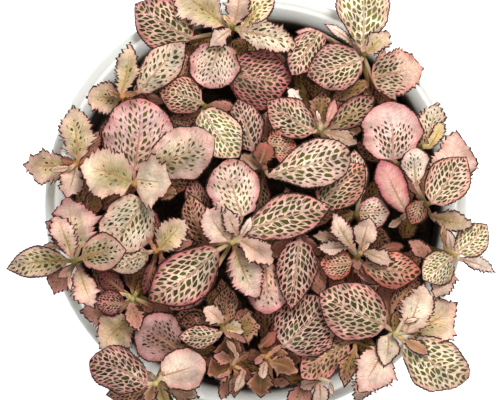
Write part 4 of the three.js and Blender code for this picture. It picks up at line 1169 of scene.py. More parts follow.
def stalk_rings(leaf, v):
    """The stalk's rings: an ellipse carried from the stem's middle to the blade's base.

    At a share t of the way its half width is 0.42 + 0.33 t and its half depth at v is
    (0.45 + 0.13 t) · sqrt(1 - v²). It turns from across the stalk to across the blade.
    """
    t = (np.arange(STALK_RINGS) / STALK_RINGS)[:, None]
    root = leaf.stem.middle(leaf.stalk_height(leaf.stalk))
    middle = root + (leaf.base - root) * t
    middle_z = leaf.stalk_height(leaf.stalk * (1.0 - t))
    direction = leaf.base - root
    direction = direction / max(float(np.hypot(*direction)), 0.01)
    crosswise = np.array([-direction[1], direction[0]])
    turned = mixed(crosswise, leaf.across, smooth_step(0.4, 1.0, t[:, 0]))
    turned = turned / np.hypot(turned[:, 0], turned[:, 1])[:, None]
    half_width = 0.42 + 0.33 * t
    half_depth = (0.45 + 0.13 * t) * np.sqrt(np.clip(1.0 - v * v, 0.0, 1.0))
    place = middle[:, None, :] + turned[:, None, :] * (half_width * v)[..., None]
    return both_faces(place, middle_z + half_depth, middle_z - half_depth)


def leaf_tube(leaf, sizes, colours):
    """One leaf as a closed tube, from the stem's middle along its stalk and out to its tip.

    The points of a ring lie closer together towards the margins, at v = sin(πx / 2).
    """
    draw = np.random.default_rng(leaf.number + LEAF_SEED)
    phase = draw.uniform(0.0, 2.0 * math.pi, 8)
    s, notch = leaf_stations(leaf, draw)
    columns = BROAD_COLUMNS if leaf.half_width > BROAD_HALF_WIDTH else SLIM_COLUMNS
    v = np.sin(np.arange(-columns, columns + 1) / columns * math.pi / 2.0)
    halves = half_widths(leaf, s, notch, phase, draw)
    grid = BladeGrid(leaf, sizes, s, v, halves)
    rings = [stalk_rings(leaf, v), blade_rings(leaf, sizes, grid, phase)]
    return np.concatenate(rings), leaf_values(leaf, colours, draw, grid)


def picked(colours, name):
    """One of the plant's colours as an array."""
    return np.array(getattr(colours, name))


def leaf_colours(leaf, colours, draw, grid):
    """The colours of a leaf's veins and cells, point by point, and of its stalk.

    The veins go from the inner colour to the outer one with the distance from the midrib,
    then to the margin's, and to the centre's round the midrib's base. They are darker at the
    base, as painted shade, and at the margin, and one half of the leaf is painted a little
    lighter than the other, as painted light.
    """
    *names, centre_share, _, _, _, bright = LOOKS[leaf.look]
    inner, outer, margin, cell, centre = (picked(colours, name) for name in names)
    s, v = grid.s, grid.v
    across = np.abs(v)
    shade = bright * draw.uniform(0.95, 1.06)
    # Painted light: one half of the leaf is a little lighter than the other, as if lit from one side.
    halves = 0.1 * draw.uniform(-1.0, 1.0) * np.tanh(4.0 * v)
    # Painted shade: darker towards the base, where the leaves above shade it.
    painted_base_shade = 0.18 * (smooth_step(0.0, 0.5, s) - 0.8)
    tone = 1.01 + halves + painted_base_shade - 0.08 * smooth_step(0.6, 1.0, across)

    outward = smooth_step(0.1, 0.9, np.maximum(across, s * 0.85))
    veins = mixed(inner, outer, outward)
    margin_width = min(3.0, 0.4 * leaf.half_width)
    near_margin = smooth_step(margin_width, 0.2, grid.from_edge)
    near_margin = np.maximum(near_margin, smooth_step(0.8, 1.0, s))
    veins = mixed(veins, margin, 0.95 * near_margin)
    core = centre_share * (1.0 - s) ** 1.2 * np.exp(-((v / 0.55) ** 2))
    veins = mixed(veins, centre, core) * shade * tone[..., None]

    fresh = 0.45 * (1.0 - s) ** 1.5 * np.exp(-((v / 0.5) ** 2))
    cells = mixed(cell, picked(colours, "bright_green"), fresh)
    cells = cells * shade * draw.uniform(0.85, 1.15)
    stalk = mixed(picked(colours, leaf.stem.tint), inner, 0.35) * shade
    return veins, cells, stalk


def net_values(leaf, draw, grid):
    """A leaf's place in the net with the strength of its streaks, and the net's shape.

    The shape is a threshold, the distance from the margin and the distance from the midrib.
    A cell fills where the distance from the net's lines passes the threshold, which rises
    with the cube of the way to the margin and the square of the way to the tip, until no
    cell is left.
    """
    *_, cell_size, reach_out, reach_on, _ = LOOKS[leaf.look]
    s, v = grid.s, grid.v
    sparse = 1.0 - cell_size
    out = np.abs(v) / max(reach_out, 0.01)
    on = s / max(reach_on, 0.01)
    beyond = smooth_step(1.0, 1.4, np.maximum(out, on))
    at_base = 1.0 - smooth_step(0.0, 0.08, s)
    threshold = 0.055 + 0.31 * sparse + (0.11 + 0.1 * sparse) * out**3 + 0.05 * on**2
    threshold = np.minimum(threshold + 0.5 * np.maximum(beyond, at_base), 1.0)
    from_edge = grid.from_edge + 4.0 * (1.0 - smooth_step(0.03, 0.1, s))
    from_edge = from_edge + 0.35 * smooth_step(3.0, 1.0, leaf.half_width)
    from_midrib = np.abs(grid.side) + 0.4 * smooth_step(0.3, 1.0, s)
    shape = np.stack([threshold, from_edge, from_midrib], -1)

    offset = np.floor(draw.uniform(0.0, 40.0, 2))
    strength = 0.5 if cell_size > 0.5 else 0.3
    streak = strength * np.exp(-((v / 0.8) ** 2)) * (1.0 - 0.6 * s)
    place = np.stack([grid.row + offset[0], grid.column + offset[1], streak], -1)
    return place, shape


def leaf_values(leaf, colours, draw, grid):
    """The painted values of a leaf's rings: first its stalk's, then both faces of its blade."""
    veins, cells, stalk_colour = leaf_colours(leaf, colours, draw, grid)
    place, shape = net_values(leaf, draw, grid)
    result = {}
    for name, blade, stalk in (
        ("vein_colour", veins, stalk_colour),
        ("cell_colour", cells, stalk_colour),
        ("net_place", place, place[0, 0]),
        ("net_shape", shape, PLAIN_SHAPE),
    ):
        around = np.concatenate([blade, blade[:, -2:0:-1]], 1)
        on_stalk = np.broadcast_to(stalk, (STALK_RINGS, around.shape[1], 3))
        result[name] = np.concatenate([on_stalk, around])
    return result


def stem_tube(stem, sizes, colours):
    """The stem as a closed tube: circles carried up its middle line, thinner to the top.

    Its radius falls with t^1.5 and swells by a share of cos(4πt)^8, which makes five joints.
    """
    low = SOIL_TOP - ROOT_DEPTH
    z = np.linspace(low, stem.crown_z, STEM_RINGS)
    t = (z - low) / (stem.crown_z - low)
    swelling = 1.0 + 0.16 * np.cos(t * 4.0 * math.pi) ** 8
    plain = sizes.stem_radius + (sizes.stem_tip_radius - sizes.stem_radius) * t**1.5
    radius = plain / MM * swelling
    angle = np.arange(STEM_SIDES) / STEM_SIDES * 2.0 * math.pi
    circle = np.stack([np.cos(angle), np.sin(angle)], -1)
    place = stem.middle(z)[:, None, :] + radius[:, None, None] * circle
    height = np.broadcast_to(z[:, None, None], (STEM_RINGS, STEM_SIDES, 1))
    rings = np.concatenate([place, height], -1)
    brown, tint = picked(colours, "brown"), picked(colours, stem.tint)
    colour = mixed(brown, tint, smooth_step(0.2, 0.9, t))[:, None, :] * 0.9
    values = {
        "vein_colour": colour,
        "cell_colour": colour,
        "net_place": np.zeros((1, 1, 3)),
        "net_shape": np.array([[PLAIN_SHAPE]]),
    }
    return rings, values


def set_sockets(node, values):
    """Sets a node's inputs by name."""
    for name, value in values.items():
        node.inputs[name].default_value = value


def add_node(tree, kind, sockets=None, **settings):
    """A shader node with its own settings, and values set on its sockets by name."""
    node = tree.nodes.new(kind)
    for name, value in settings.items():
        setattr(node, name, value)
    set_sockets(node, sockets or {})
    return node


def new_material(name):
    """A material with one Principled shader, and its node tree."""
    material = bpy.data.materials.new(name)
    material.use_nodes = True
    tree = material.node_tree
    return material, tree, tree.nodes["Principled BSDF"]


def feed(tree, value, socket):
    """Gives an input its value: a link from another socket, or a number or a colour."""
    if isinstance(value, bpy.types.NodeSocket):
        tree.links.new(value, socket)
    else:
        socket.default_value = value


def attribute(tree, name, output):
    """A value painted on the mesh."""
    return add_node(tree, "ShaderNodeAttribute", attribute_name=name).outputs[output]


def parts_of(tree, vector):
    """The three numbers of a vector."""
    node = add_node(tree, "ShaderNodeSeparateXYZ")
    tree.links.new(vector, node.inputs[0])
    return node.outputs


def step_between(tree, value, low, high, low_result=0.0, high_result=1.0):
    """A smooth step of a value from one result to another. A limit may be a socket."""
    node = add_node(tree, "ShaderNodeMapRange", interpolation_type="SMOOTHSTEP")
    feed(tree, value, node.inputs["Value"])
    feed(tree, low, node.inputs["From Min"])
    feed(tree, high, node.inputs["From Max"])
    feed(tree, low_result, node.inputs["To Min"])
    feed(tree, high_result, node.inputs["To Max"])
    return node.outputs["Result"]


def calculate(tree, operation, *values):
    """One calculation with two or three values, each a socket or a number."""
    node = add_node(tree, "ShaderNodeMath", operation=operation)
    for socket, value in zip(node.inputs, values):
        feed(tree, value, socket)
    return node.outputs[0]


def blend_colours(tree, share, first, second, blend_type="MIX"):
    """Two colours mixed by a share, each a socket or a colour.

    Of the node's sockets, inputs 6 and 7 and output 2 are the ones for colours.
    """
    node = add_node(tree, "ShaderNodeMix", data_type="RGBA", blend_type=blend_type)
    feed(tree, share, node.inputs[0])
    feed(tree, first, node.inputs[6])
    feed(tree, second, node.inputs[7])
    return node.outputs[2]


def object_noise(tree, scale, detail, roughness=0.55):
    """Noise on the object's own coordinates, in cells to a metre."""
    where = add_node(tree, "ShaderNodeTexCoord").outputs["Object"]
    noise = add_node(
        tree,
        "ShaderNodeTexNoise",
        sockets={"Scale": scale, "Detail": detail, "Roughness": roughness},
    )
    tree.links.new(where, noise.inputs["Vector"])
    return noise.outputs["Fac"]


def flat_noise(tree, place, detail, scale):
    """A noise node in two dimensions on given places."""
    noise = add_node(
        tree,
        "ShaderNodeTexNoise",
        noise_dimensions="2D",
        sockets={"Scale": scale, "Detail": detail},
    )
    tree.links.new(place, noise.inputs["Vector"])
    return noise


def add_bump(tree, shader, height, strength, distance):
    """Roughens a shader's surface by a height of up to a distance in metres."""
    bump = add_node(tree, "ShaderNodeBump", sockets={"Strength": strength, "Distance": distance})
    tree.links.new(height, bump.inputs["Height"])
    tree.links.new(bump.outputs["Normal"], shader.inputs["Normal"])


def shaded(tree, colour, value, low_result, high_result):
    """A colour made lighter or darker by a value from 0 to 1."""
    tone = step_between(tree, value, 0.0, 1.0, low_result, high_result)
    grey = add_node(tree, "ShaderNodeCombineColor")
    for socket in grey.inputs:
        tree.links.new(tone, socket)
    return blend_colours(tree, 1.0, colour, grey.outputs[0], "MULTIPLY")


def net_cells(tree, place, threshold):
    """How far a cell of the net fills each point, and three random numbers for each cell.

    The cells are those of a Voronoi diagram on places shifted by a slow noise, with their
    corners rounded off, and are cut by the lateral veins between the rows.
    """
    link = tree.links.new
    warp = flat_noise(tree, place, detail=1.0, scale=0.7)
    shift = add_node(tree, "ShaderNodeVectorMath", operation="MULTIPLY_ADD")
    link(warp.outputs["Color"], shift.inputs[0])
    shift.inputs[1].default_value = (0.6, 0.6, 0.0)
    link(place, shift.inputs[2])
    nets = []
    for feature in ("DISTANCE_TO_EDGE", "F1"):
        net = add_node(
            tree,
            "ShaderNodeTexVoronoi",
            voronoi_dimensions="2D",
            feature=feature,
            sockets={"Scale": 1.0, "Randomness": NET_RANDOMNESS},
        )
        link(shift.outputs[0], net.inputs["Vector"])
        nets.append(net)
    corner = step_between(tree, nets[1].outputs["Distance"], 0.3, 0.8, 0.0, 0.2)
    roundness = calculate(tree, "SUBTRACT", nets[0].outputs["Distance"], corner)
    chance = add_node(tree, "ShaderNodeSeparateColor")
    link(nets[1].outputs["Color"], chance.inputs[0])
    share = step_between(tree, chance.outputs[0], 0.0, 1.0, 0.6, 1.5)
    limit = calculate(tree, "MULTIPLY", threshold, share)
    full = calculate(tree, "ADD", limit, 0.05)
    filled = step_between(tree, roundness, limit, full)
    row = parts_of(tree, shift.outputs[0])[0]
    between_rows = calculate(tree, "ADD", row, 0.5 - NET_RANDOMNESS / 2.0)
    lateral = calculate(tree, "PINGPONG", between_rows, 0.5)
    filled = calculate(tree, "MULTIPLY", filled, step_between(tree, lateral, 0.02, 0.08))
    return filled, chance.outputs


def leaf_material(colours):
    """Netted leaf: rounded cells between pale veins, a midrib, streaks and a thin dark edge."""
    material, tree, shader = new_material("netted_leaf")
    link = tree.links.new
    place = attribute(tree, "net_place", "Vector")
    veins = attribute(tree, "vein_colour", "Color")
    cells = attribute(tree, "cell_colour", "Color")
    threshold, edge, midrib = parts_of(tree, attribute(tree, "net_shape", "Vector"))

    # The cells, which end before the midrib and before the margin
    filled, chance = net_cells(tree, place, threshold)
    filled = calculate(tree, "MULTIPLY", filled, step_between(tree, midrib, 0.26, 0.44))
    filled = calculate(tree, "MULTIPLY", filled, step_between(tree, edge, 0.4, 0.9))

    # Fine streaks beside the lateral veins, which let some of the cells' colour through
    stretch = add_node(tree, "ShaderNodeMapping", vector_type="POINT")
    stretch.inputs["Scale"].default_value = (5.0, 1.0, 1.0)
    link(place, stretch.inputs["Vector"])
    streaks = flat_noise(tree, stretch.outputs["Vector"], detail=3.0, scale=1.0).outputs["Fac"]
    through = step_between(tree, streaks, 0.42, 0.72)
    through = calculate(tree, "MULTIPLY", through, parts_of(tree, place)[2])
    colour = blend_colours(tree, through, veins, cells)
    blush = step_between(tree, object_noise(tree, 170.0, 2.0), 0.42, 0.62, 0.0, 0.4)
    colour = blend_colours(tree, blush, colour, (1.0, 0.74, 0.7, 1.0), "MULTIPLY")
    fresh = step_between(tree, chance[1], 0.35, 1.0, 0.0, 0.4)
    cell_tone = blend_colours(tree, fresh, cells, (*colours.bright_green, 1.0))
    cell_tone = shaded(tree, cell_tone, chance[2], 0.6, 1.15)
    colour = blend_colours(tree, filled, colour, cell_tone)
    colour = shaded(tree, colour, streaks, 1.25, 0.7)
    # Partly the leaf's own uneven tone and partly painted shade for its folds and curls: blotches of
    # about 8 mm, lighter and darker at random
    colour = shaded(tree, colour, object_noise(tree, 130.0, 2.0), 1.58, 0.38)

    # The midrib, and the dark line along the margin, which is thicker in places: partly the margin's
    # own dark colour and partly painted shade
    rib = step_between(tree, midrib, 0.12, 0.42, 0.75, 0.0)
    colour = blend_colours(tree, rib, colour, (*colours.midrib, 1.0))
    broken = calculate(tree, "MULTIPLY_ADD", object_noise(tree, 420.0, 2.0), 0.7, edge)
    line = step_between(tree, broken, 0.72, 1.03, 0.98, 0.0)
    colour = blend_colours(tree, line, colour, (*colours.edge_line, 1.0))
    link(colour, shader.inputs["Base Color"])

    relief = calculate(tree, "MULTIPLY_ADD", streaks, 0.5, filled)
    add_bump(tree, shader, relief, 0.6, 0.22 * MM)
    set_sockets(shader, {"Roughness": 0.48, "Specular IOR Level": 0.12})
    return material


def inside_of_wall(tree, sizes, x_y_z, height):
    """1 on the pot's inner face and 0 on its outer one, by the depth within the wall."""
    flat = add_node(tree, "ShaderNodeVectorMath", operation="MULTIPLY")
    tree.links.new(x_y_z, flat.inputs[0])
    flat.inputs[1].default_value = (1.0, 1.0, 0.0)
    radius = add_node(tree, "ShaderNodeVectorMath", operation="LENGTH")
    tree.links.new(flat.outputs[0], radius.inputs[0])
    low_radius = inner_radius(sizes, 0.0)
    slope = (inner_radius(sizes, POT_HEIGHT) - low_radius) / POT_HEIGHT
    inner_face = calculate(tree, "MULTIPLY_ADD", height, slope, low_radius)
    depth = calculate(tree, "SUBTRACT", radius.outputs["Value"], inner_face)
    wall = sizes.wall_thickness
    return step_between(tree, depth, 0.25 * wall, 0.6 * wall, 1.0, 0.0)


def pot_material(sizes, colours):
    """Smooth white moulded plastic with faint clouds and specks.

    Its inner face has a painted glow, which stands in for daylight through the thin wall, more
    so towards the rim. Just above the soil that face is painted near black as shade, with an
    uneven upper edge.
    """
    material, tree, shader = new_material("white_pot_plastic")
    link = tree.links.new
    cloud = step_between(tree, object_noise(tree, 22.0, 3.0), 0.35, 0.7, 0.0, 1.0)
    colour = blend_colours(tree, cloud, (*colours.pot_white, 1.0), (*colours.pot_cloud, 1.0))
    dust = step_between(tree, object_noise(tree, 900.0, 2.0), 0.72, 0.78, 0.0, 0.5)
    colour = blend_colours(tree, dust, colour, (*colours.pot_dust, 1.0))
    rough = step_between(tree, object_noise(tree, 60.0, 4.0), 0.3, 0.7, 0.32, 0.46)
    link(rough, shader.inputs["Roughness"])

    where = add_node(tree, "ShaderNodeTexCoord").outputs["Object"]
    height = parts_of(tree, where)[2]
    inside = inside_of_wall(tree, sizes, where, height)
    # Painted shade: just above the soil the inner face is painted near black, up to an uneven edge.
    uneven = calculate(tree, "MULTIPLY_ADD", object_noise(tree, 45.0, 4.0), -9.0 * MM, height)
    painted_shade = step_between(tree, uneven, SOIL_TOP * MM, (SOIL_TOP + 8.0) * MM, 0.95, 0.0)
    painted_shade = calculate(tree, "MULTIPLY", painted_shade, inside)
    colour = blend_colours(tree, painted_shade, colour, (*colours.pot_painted_shade, 1.0))
    link(colour, shader.inputs["Base Color"])
    # Painted glow: the inner face gives off its own light, more so towards the rim.
    glow = step_between(tree, height, (SOIL_TOP + 6.0) * MM, POT_HEIGHT, 0.0, 0.48)
    link(calculate(tree, "MULTIPLY", inside, glow), shader.inputs["Emission Strength"])
    set_sockets(shader, {
        "Emission Color": (*colours.pot_painted_glow, 1.0),
        "Subsurface Weight": 0.8,
        "Subsurface Radius": (1.0, 1.0, 1.0),
        "Subsurface Scale": 4.0 * MM,
    })
    add_bump(tree, shader, object_noise(tree, 1400.0, 2.0), 0.12, 0.1 * MM)
    return material


def soil_material(colours):
    """Near-black moist peat with brown fibres and a coarse crumbled bump."""
    material, tree, shader = new_material("dark_peat")
    clumps = step_between(tree, object_noise(tree, 260.0, 5.0, 0.7), 0.4, 0.72)
    colour = blend_colours(tree, clumps, (*colours.peat, 1.0), (*colours.peat_clump, 1.0))
    fibres = step_between(tree, object_noise(tree, 1500.0, 3.0), 0.66, 0.76, 0.0, 0.4)
    colour = blend_colours(tree, fibres, colour, (*colours.fibre, 1.0))
    tree.links.new(colour, shader.inputs["Base Color"])
    set_sockets(shader, {"Roughness": 0.93, "Specular IOR Level": 0.05})
    add_bump(tree, shader, object_noise(tree, 700.0, 6.0, 0.7), 0.8, 0.6 * MM)
    return material


def floor_material(colour, glow):
    """Plain pale studio floor with the faintest mottling, lit a little from below."""
    material, tree, shader = new_material("pale_floor")
    mottle = step_between(tree, object_noise(tree, 3.0, 2.0), 0.3, 0.7)
    darker = tuple(part * 0.985 for part in colour)
    paint = blend_colours(tree, mottle, (*colour, 1.0), (*darker, 1.0))
    tree.links.new(paint, shader.inputs["Base Color"])
    set_sockets(shader, {
        "Roughness": 0.9,
        "Emission Color": (1.0, 1.0, 1.0, 1.0),
        "Emission Strength": glow,
    })
    return material


def show(mesh, material, name, nodes):
    """Puts a finished mesh in the scene as a piece that stands for its CAD nodes."""
    mesh.materials.append(material)
    piece = bpy.data.objects.new(name, mesh)
    bpy.context.scene.collection.objects.link(piece)
    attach(piece, "root")
    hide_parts(*nodes)
    return piece


def rounded_profile(corners):
    """A profile of straight runs whose corners (radius, height, rounding) are arcs.

    An arc touches both runs at rounding / tan(a) from the corner, and its middle lies at
    rounding / sin(a), where a is half the angle between them.
    """
    points = []
    last = len(corners) - 1
    for index, (radius, height, rounding) in enumerate(corners):
        here = np.array([radius, height])
        if rounding == 0.0 or index in (0, last):
            points.append(here)
            continue
        before = np.array(corners[index - 1][:2]) - here
        after = np.array(corners[index + 1][:2]) - here
        before = before / np.hypot(*before)
        after = after / np.hypot(*after)
        half_angle = math.acos(float(np.clip(before @ after, -1.0, 1.0))) / 2.0
        reach = rounding / math.tan(half_angle)
        inward = (before + after) / np.hypot(*(before + after))
        middle = here + inward * rounding / math.sin(half_angle)
        start = here + before * reach - middle
        end = here + after * reach - middle
        turn = math.atan2(start[0] * end[1] - start[1] * end[0], start @ end)
        for angle in np.linspace(0.0, turn, ARC_POINTS):
            cosine, sine = math.cos(angle), math.sin(angle)
            arm = [start[0] * cosine - start[1] * sine, start[0] * sine + start[1] * cosine]
            points.append(middle + np.array(arm))
    return np.array(points)


def turned_mesh(name, profile, sectors):
    """A profile turned round the axis: (r, z) becomes (r cos a, r sin a, z) at even angles a.

    Its first and last points lie on the axis, and a fan of triangles closes each end.
    """
    ring = profile[1:-1]
    angle = np.arange(sectors) / sectors * 2.0 * math.pi
    x = ring[:, 0, None] * np.cos(angle)
    y = ring[:, 0, None] * np.sin(angle)
    z = np.broadcast_to(ring[:, 1, None], x.shape)
    points = np.stack([x, y, z], -1).reshape(-1, 3)
    ends = np.array([[0.0, 0.0, profile[0, 1]], [0.0, 0.0, profile[-1, 1]]])
    index = np.arange(len(ring) * sectors).reshape(len(ring), sectors)
    first, last = len(points), len(points) + 1
    fan = [[first, int(b), int(a)] for a, b in zip(index[0], np.roll(index[0], -1))]
    fan += [[last, int(a), int(b)] for a, b in zip(index[-1], np.roll(index[-1], -1))]
    faces = quads_between(index).tolist() + fan
    mesh = smooth_mesh(name, np.concatenate([points, ends]), faces)
    mesh.update()
    return mesh


def inner_radius(sizes, z):
    """The pot's inner radius at a height: its wall goes straight from the base to the rim."""
    top = RIM_RADIUS - sizes.rim_band_step
    return sizes.base_radius + (top - sizes.base_radius) * z / POT_HEIGHT - sizes.wall_thickness


def outer_radius(sizes, z):
    """The pot's outer radius at a height, below the band round its rim."""
    return inner_radius(sizes, z) + sizes.wall_thickness


class NERVEPLANT_OT_pot(bpy.types.Operator):
    """Add the plain tapered pot with its rim band and drain holes."""

    bl_idname = "nerve_plant.pot"
    bl_label = "Add Pot"

    def execute(self, context):
        sizes = context.scene.nerve_plant_sizes
        colours = context.scene.nerve_plant_colours
        band_low = POT_HEIGHT - sizes.rim_band_height
        profile = rounded_profile([
            (0.0, 0.0, 0.0),
            (outer_radius(sizes, 0.0), 0.0, 1.5 * MM),
            (outer_radius(sizes, band_low), band_low, 0.7 * MM),
            (RIM_RADIUS - 0.3 * MM, band_low + 0.5 * MM, 0.8 * MM),
            (RIM_RADIUS, POT_HEIGHT, 1.4 * MM),
            (inner_radius(sizes, POT_HEIGHT), POT_HEIGHT, 1.3 * MM),
            (inner_radius(sizes, sizes.floor_thickness), sizes.floor_thickness, 2.0 * MM),
            (0.0, sizes.floor_thickness, 0.0),
        ])
        mesh = turned_mesh("plant_pot", profile, POT_SECTORS)
        piece = show(mesh, pot_material(sizes, colours), "plant_pot", ["pot"])
        self.cut_drain_holes(context, piece, sizes)
        return {"FINISHED"}

    def cut_drain_holes(self, context, piece, sizes):
        """Cuts a ring of round holes through the floor."""
        for number in range(sizes.drain_hole_count):
            angle = number / sizes.drain_hole_count * 2.0 * math.pi
            x = sizes.drain_ring_radius * math.cos(angle)
            y = sizes.drain_ring_radius * math.sin(angle)
            bpy.ops.mesh.primitive_cylinder_add(
                vertices=DRAIN_HOLE_SIDES,
                radius=sizes.drain_hole_radius,
                depth=3.0 * sizes.floor_thickness,
                location=(x, y, 0.0),
            )
            drill = context.object
            cut = piece.modifiers.new("drain_hole", "BOOLEAN")
            cut.object = drill
            cut.solver = "EXACT"
            context.view_layer.objects.active = piece
            bpy.ops.object.modifier_apply(modifier=cut.name)
            bpy.data.objects.remove(drill)


def soil_relief(x, y):
    """Clods: a sum of plane waves amount / 2 · sin(2π (x cos a + y sin a) / length + phase).

    Each wave has its own seeded direction a and phase.
    """
    draw = np.random.default_rng(CLOD_SEED)
    height = np.zeros_like(x)
    for wavelength, amount in CLOD_WAVES:
        for _ in range(WAVES_PER_LENGTH):
            turn = draw.uniform(0.0, 2.0 * math.pi)
            phase = draw.uniform(0.0, 2.0 * math.pi)
            travel = (x * math.cos(turn) + y * math.sin(turn)) / (wavelength * MM)
            height = height + amount / 2.0 * np.sin(2.0 * math.pi * travel + phase)
    return height * MM


class NERVEPLANT_OT_soil(bpy.types.Operator):
    """Add the peat that fills the pot, with loose crumbs on it."""

    bl_idname = "nerve_plant.soil"
    bl_label = "Add Soil"

    def execute(self, context):
        sizes = context.scene.nerve_plant_sizes
        low = sizes.floor_thickness + SOIL_GAP
        top = SOIL_TOP * MM
        low_radius = inner_radius(sizes, low) - 2.0 * SOIL_GAP
        top_radius = inner_radius(sizes, top) - 2.0 * SOIL_GAP
        radii = np.linspace(top_radius - SOIL_BEVEL, 0.0, SOIL_RINGS + 1)
        profile = [(0.0, low), (low_radius, low), (top_radius, top - SOIL_BEVEL)]
        profile += [(radius, top) for radius in radii]
        mesh = turned_mesh("potting_soil", np.array(profile), SOIL_SECTORS)
        self.roughen(mesh, top)
        material = soil_material(context.scene.nerve_plant_colours)
        show(mesh, material, "potting_soil", ["soil"])
        crumbs = self.crumb_mesh(sizes.crumb_count, top, top_radius - CRUMB_MARGIN)
        show(crumbs, material, "soil_crumbs", ["soil"])
        return {"FINISHED"}

    def roughen(self, mesh, top):
        """Lifts the points of the top surface by the clods' relief."""
        count = len(mesh.vertices)
        points = np.empty(count * 3, np.float32)
        mesh.vertices.foreach_get("co", points)
        points = points.reshape(-1, 3)
        on_top = points[:, 2] > top - 0.1 * MM
        points[on_top, 2] += soil_relief(points[on_top, 0], points[on_top, 1])
        mesh.vertices.foreach_set("co", points.ravel())
        mesh.update()

    def icosahedron(self):
        """The corners (0, ±1, ±g) and their cyclic turns, set at distance 1, and the faces.

        Here g is the golden ratio. Each three corners that are neighbours make a face.
        """
        golden = (1.0 + math.sqrt(5.0)) / 2.0
        corners = [(0, s, t * golden) for s in (-1, 1) for t in (-1, 1)]
        corners += [(s, t * golden, 0) for s in (-1, 1) for t in (-1, 1)]
        corners += [(s * golden, 0, t) for s in (-1, 1) for t in (-1, 1)]
        corners = np.array(corners) / math.hypot(1.0, golden)
        close = np.linalg.norm(corners[:, None] - corners, axis=-1) < 1.1
        faces = []
        for a, b, c in itertools.combinations(range(len(corners)), 3):
            if close[a, b] and close[b, c] and close[a, c]:
                across = np.cross(corners[b] - corners[a], corners[c] - corners[a])
                faces.append((a, b, c) if across @ corners[a] > 0 else (a, c, b))
        return corners, np.array(faces)

    def crumb_mesh(self, count, top, reach):
        """Crumbs on the soil: an icosahedron's corners times a stretch, a dent and a size.

        The size grows with u³ for a random u from 0 to 1, so most crumbs are small.
        """
        draw = np.random.default_rng(CRUMB_SEED)
        corners, faces = self.icosahedron()
        radius = reach * np.sqrt(draw.uniform(0.0, 1.0, count))
        angle = draw.uniform(0.0, 2.0 * math.pi, count)
        x = radius * np.cos(angle)
        y = radius * np.sin(angle)
        size = MM * (CRUMB_LEAST + CRUMB_SPREAD * draw.uniform(0.0, 1.0, count) ** 3)
        z = top + soil_relief(x, y) + 0.25 * size
        middle = np.stack([x, y, z], -1)
        stretch = draw.uniform(0.6, 1.3, (count, 1, 3))
        dents = draw.uniform(0.75, 1.2, (count, len(corners), 1))
        points = middle[:, None] + corners * stretch * dents * size[:, None, None]
        every = faces + len(corners) * np.arange(count)[:, None, None]
        mesh = bpy.data.meshes.new("soil_crumbs")
        mesh.from_pydata(points.reshape(-1, 3).tolist(), [], every.reshape(-1, 3).tolist())
        mesh.update()
        return mesh


class NERVEPLANT_OT_leafy_stems(bpy.types.Operator):
    """Add every leafy stem, each as one piece with its stalks and netted leaves."""

    bl_idname = "nerve_plant.leafy_stems"
    bl_label = "Add Leafy Stems"

    def execute(self, context):
        sizes = context.scene.nerve_plant_sizes
        colours = context.scene.nerve_plant_colours
        material = leaf_material(colours)
        for stem in lay_leaves():
            shape = Shape()
            shape.add_tube(*stem_tube(stem, sizes, colours))
            for leaf in stem.leaves:
                shape.add_tube(*leaf_tube(leaf, sizes, colours))
            name = f"leafy_{stem.node}"
            show(shape.mesh(name), material, name, [stem.node])
        return {"FINISHED"}


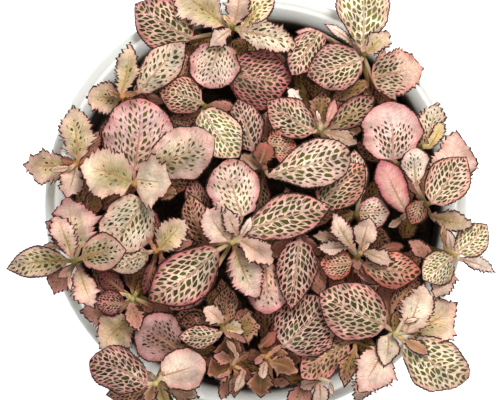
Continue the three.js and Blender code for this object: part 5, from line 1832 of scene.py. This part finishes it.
class NERVEPLANT_OT_stage(bpy.types.Operator):
    """Add the pale floor, the soft lights and the camera that looks straight down."""

    bl_idname = "nerve_plant.stage"
    bl_label = "Add Stage"

    def execute(self, context):
        stage = context.scene.nerve_plant_stage
        self.add_floor(context, stage)
        self.add_lights(context, stage)
        self.add_camera(context, stage)
        return {"FINISHED"}

    def add_floor(self, context, stage):
        """A square floor at the height that the pot stands on."""
        half = FLOOR_HALF_SIDE
        mesh = bpy.data.meshes.new("studio_floor")
        corners = [(-half, -half, 0.0), (half, -half, 0.0), (half, half, 0.0), (-half, half, 0.0)]
        mesh.from_pydata(corners, [], [(0, 1, 2, 3)])
        mesh.materials.append(floor_material(tuple(stage.floor_colour), stage.floor_glow))
        floor = bpy.data.objects.new("studio_floor", mesh)
        context.scene.collection.objects.link(floor)

    def add_lights(self, context, stage):
        """One large soft light above, to the back and the right, and white surroundings."""
        key = bpy.data.lights.new("key_light", "AREA")
        key.shape = "DISK"
        key.size = stage.key_size
        key.energy = stage.key_power
        lamp = bpy.data.objects.new("key_light", key)
        lamp.location = KEY_PLACE
        lamp.rotation_euler = [math.radians(angle) for angle in KEY_TILT]
        context.scene.collection.objects.link(lamp)
        world = bpy.data.worlds.new("white_surroundings")
        world.use_nodes = True
        background = world.node_tree.nodes["Background"]
        set_sockets(background, {"Color": (1.0, 1.0, 1.0, 1.0), "Strength": stage.fill_strength})
        context.scene.world = world
        context.scene.view_settings.view_transform = "Standard"

    def add_camera(self, context, stage):
        """A long lens straight above the plant, with the picture's top towards +Y."""
        lens = bpy.data.cameras.new("camera")
        lens.sensor_width = SENSOR_WIDTH
        lens.lens = SENSOR_WIDTH * stage.camera_distance / stage.view_width
        camera = bpy.data.objects.new("camera", lens)
        x, y = VIEW_MIDDLE
        camera.location = (x * MM, y * MM, stage.canopy_level + stage.camera_distance)
        context.scene.collection.objects.link(camera)
        context.scene.camera = camera


class NERVEPLANT_PT_panel(bpy.types.Panel):
    """Lists the steps that build the nerve plant."""

    bl_idname = "NERVEPLANT_PT_panel"
    bl_label = "Nerve Plant"
    bl_space_type = "VIEW_3D"
    bl_region_type = "UI"
    bl_category = "Nerve Plant"

    def draw(self, context):
        for operator in OPERATORS:
            self.layout.operator(operator.bl_idname)


OPERATORS = (
    NERVEPLANT_OT_pot,
    NERVEPLANT_OT_soil,
    NERVEPLANT_OT_leafy_stems,
    NERVEPLANT_OT_stage,
)
GROUPS = {
    "nerve_plant_colours": NervePlantColours,
    "nerve_plant_sizes": NervePlantSizes,
    "nerve_plant_stage": NervePlantStage,
}


def register():
    """Registers the property groups, the operators and the panel."""
    for group in GROUPS.values():
        bpy.utils.register_class(group)
    for operator in OPERATORS:
        bpy.utils.register_class(operator)
    bpy.utils.register_class(NERVEPLANT_PT_panel)
    for name, group in GROUPS.items():
        setattr(bpy.types.Scene, name, PointerProperty(type=group))


def unregister():
    """Takes everything out again, in the reverse order."""
    for name in GROUPS:
        delattr(bpy.types.Scene, name)
    bpy.utils.unregister_class(NERVEPLANT_PT_panel)
    for operator in reversed(OPERATORS):
        bpy.utils.unregister_class(operator)
    for group in reversed(list(GROUPS.values())):
        bpy.utils.unregister_class(group)


def main():
    """Builds every piece and the stage."""
    register()
    bpy.ops.nerve_plant.pot()
    bpy.ops.nerve_plant.soil()
    bpy.ops.nerve_plant.leafy_stems()
    bpy.ops.nerve_plant.stage()


if __name__ == "__main__":
    main()
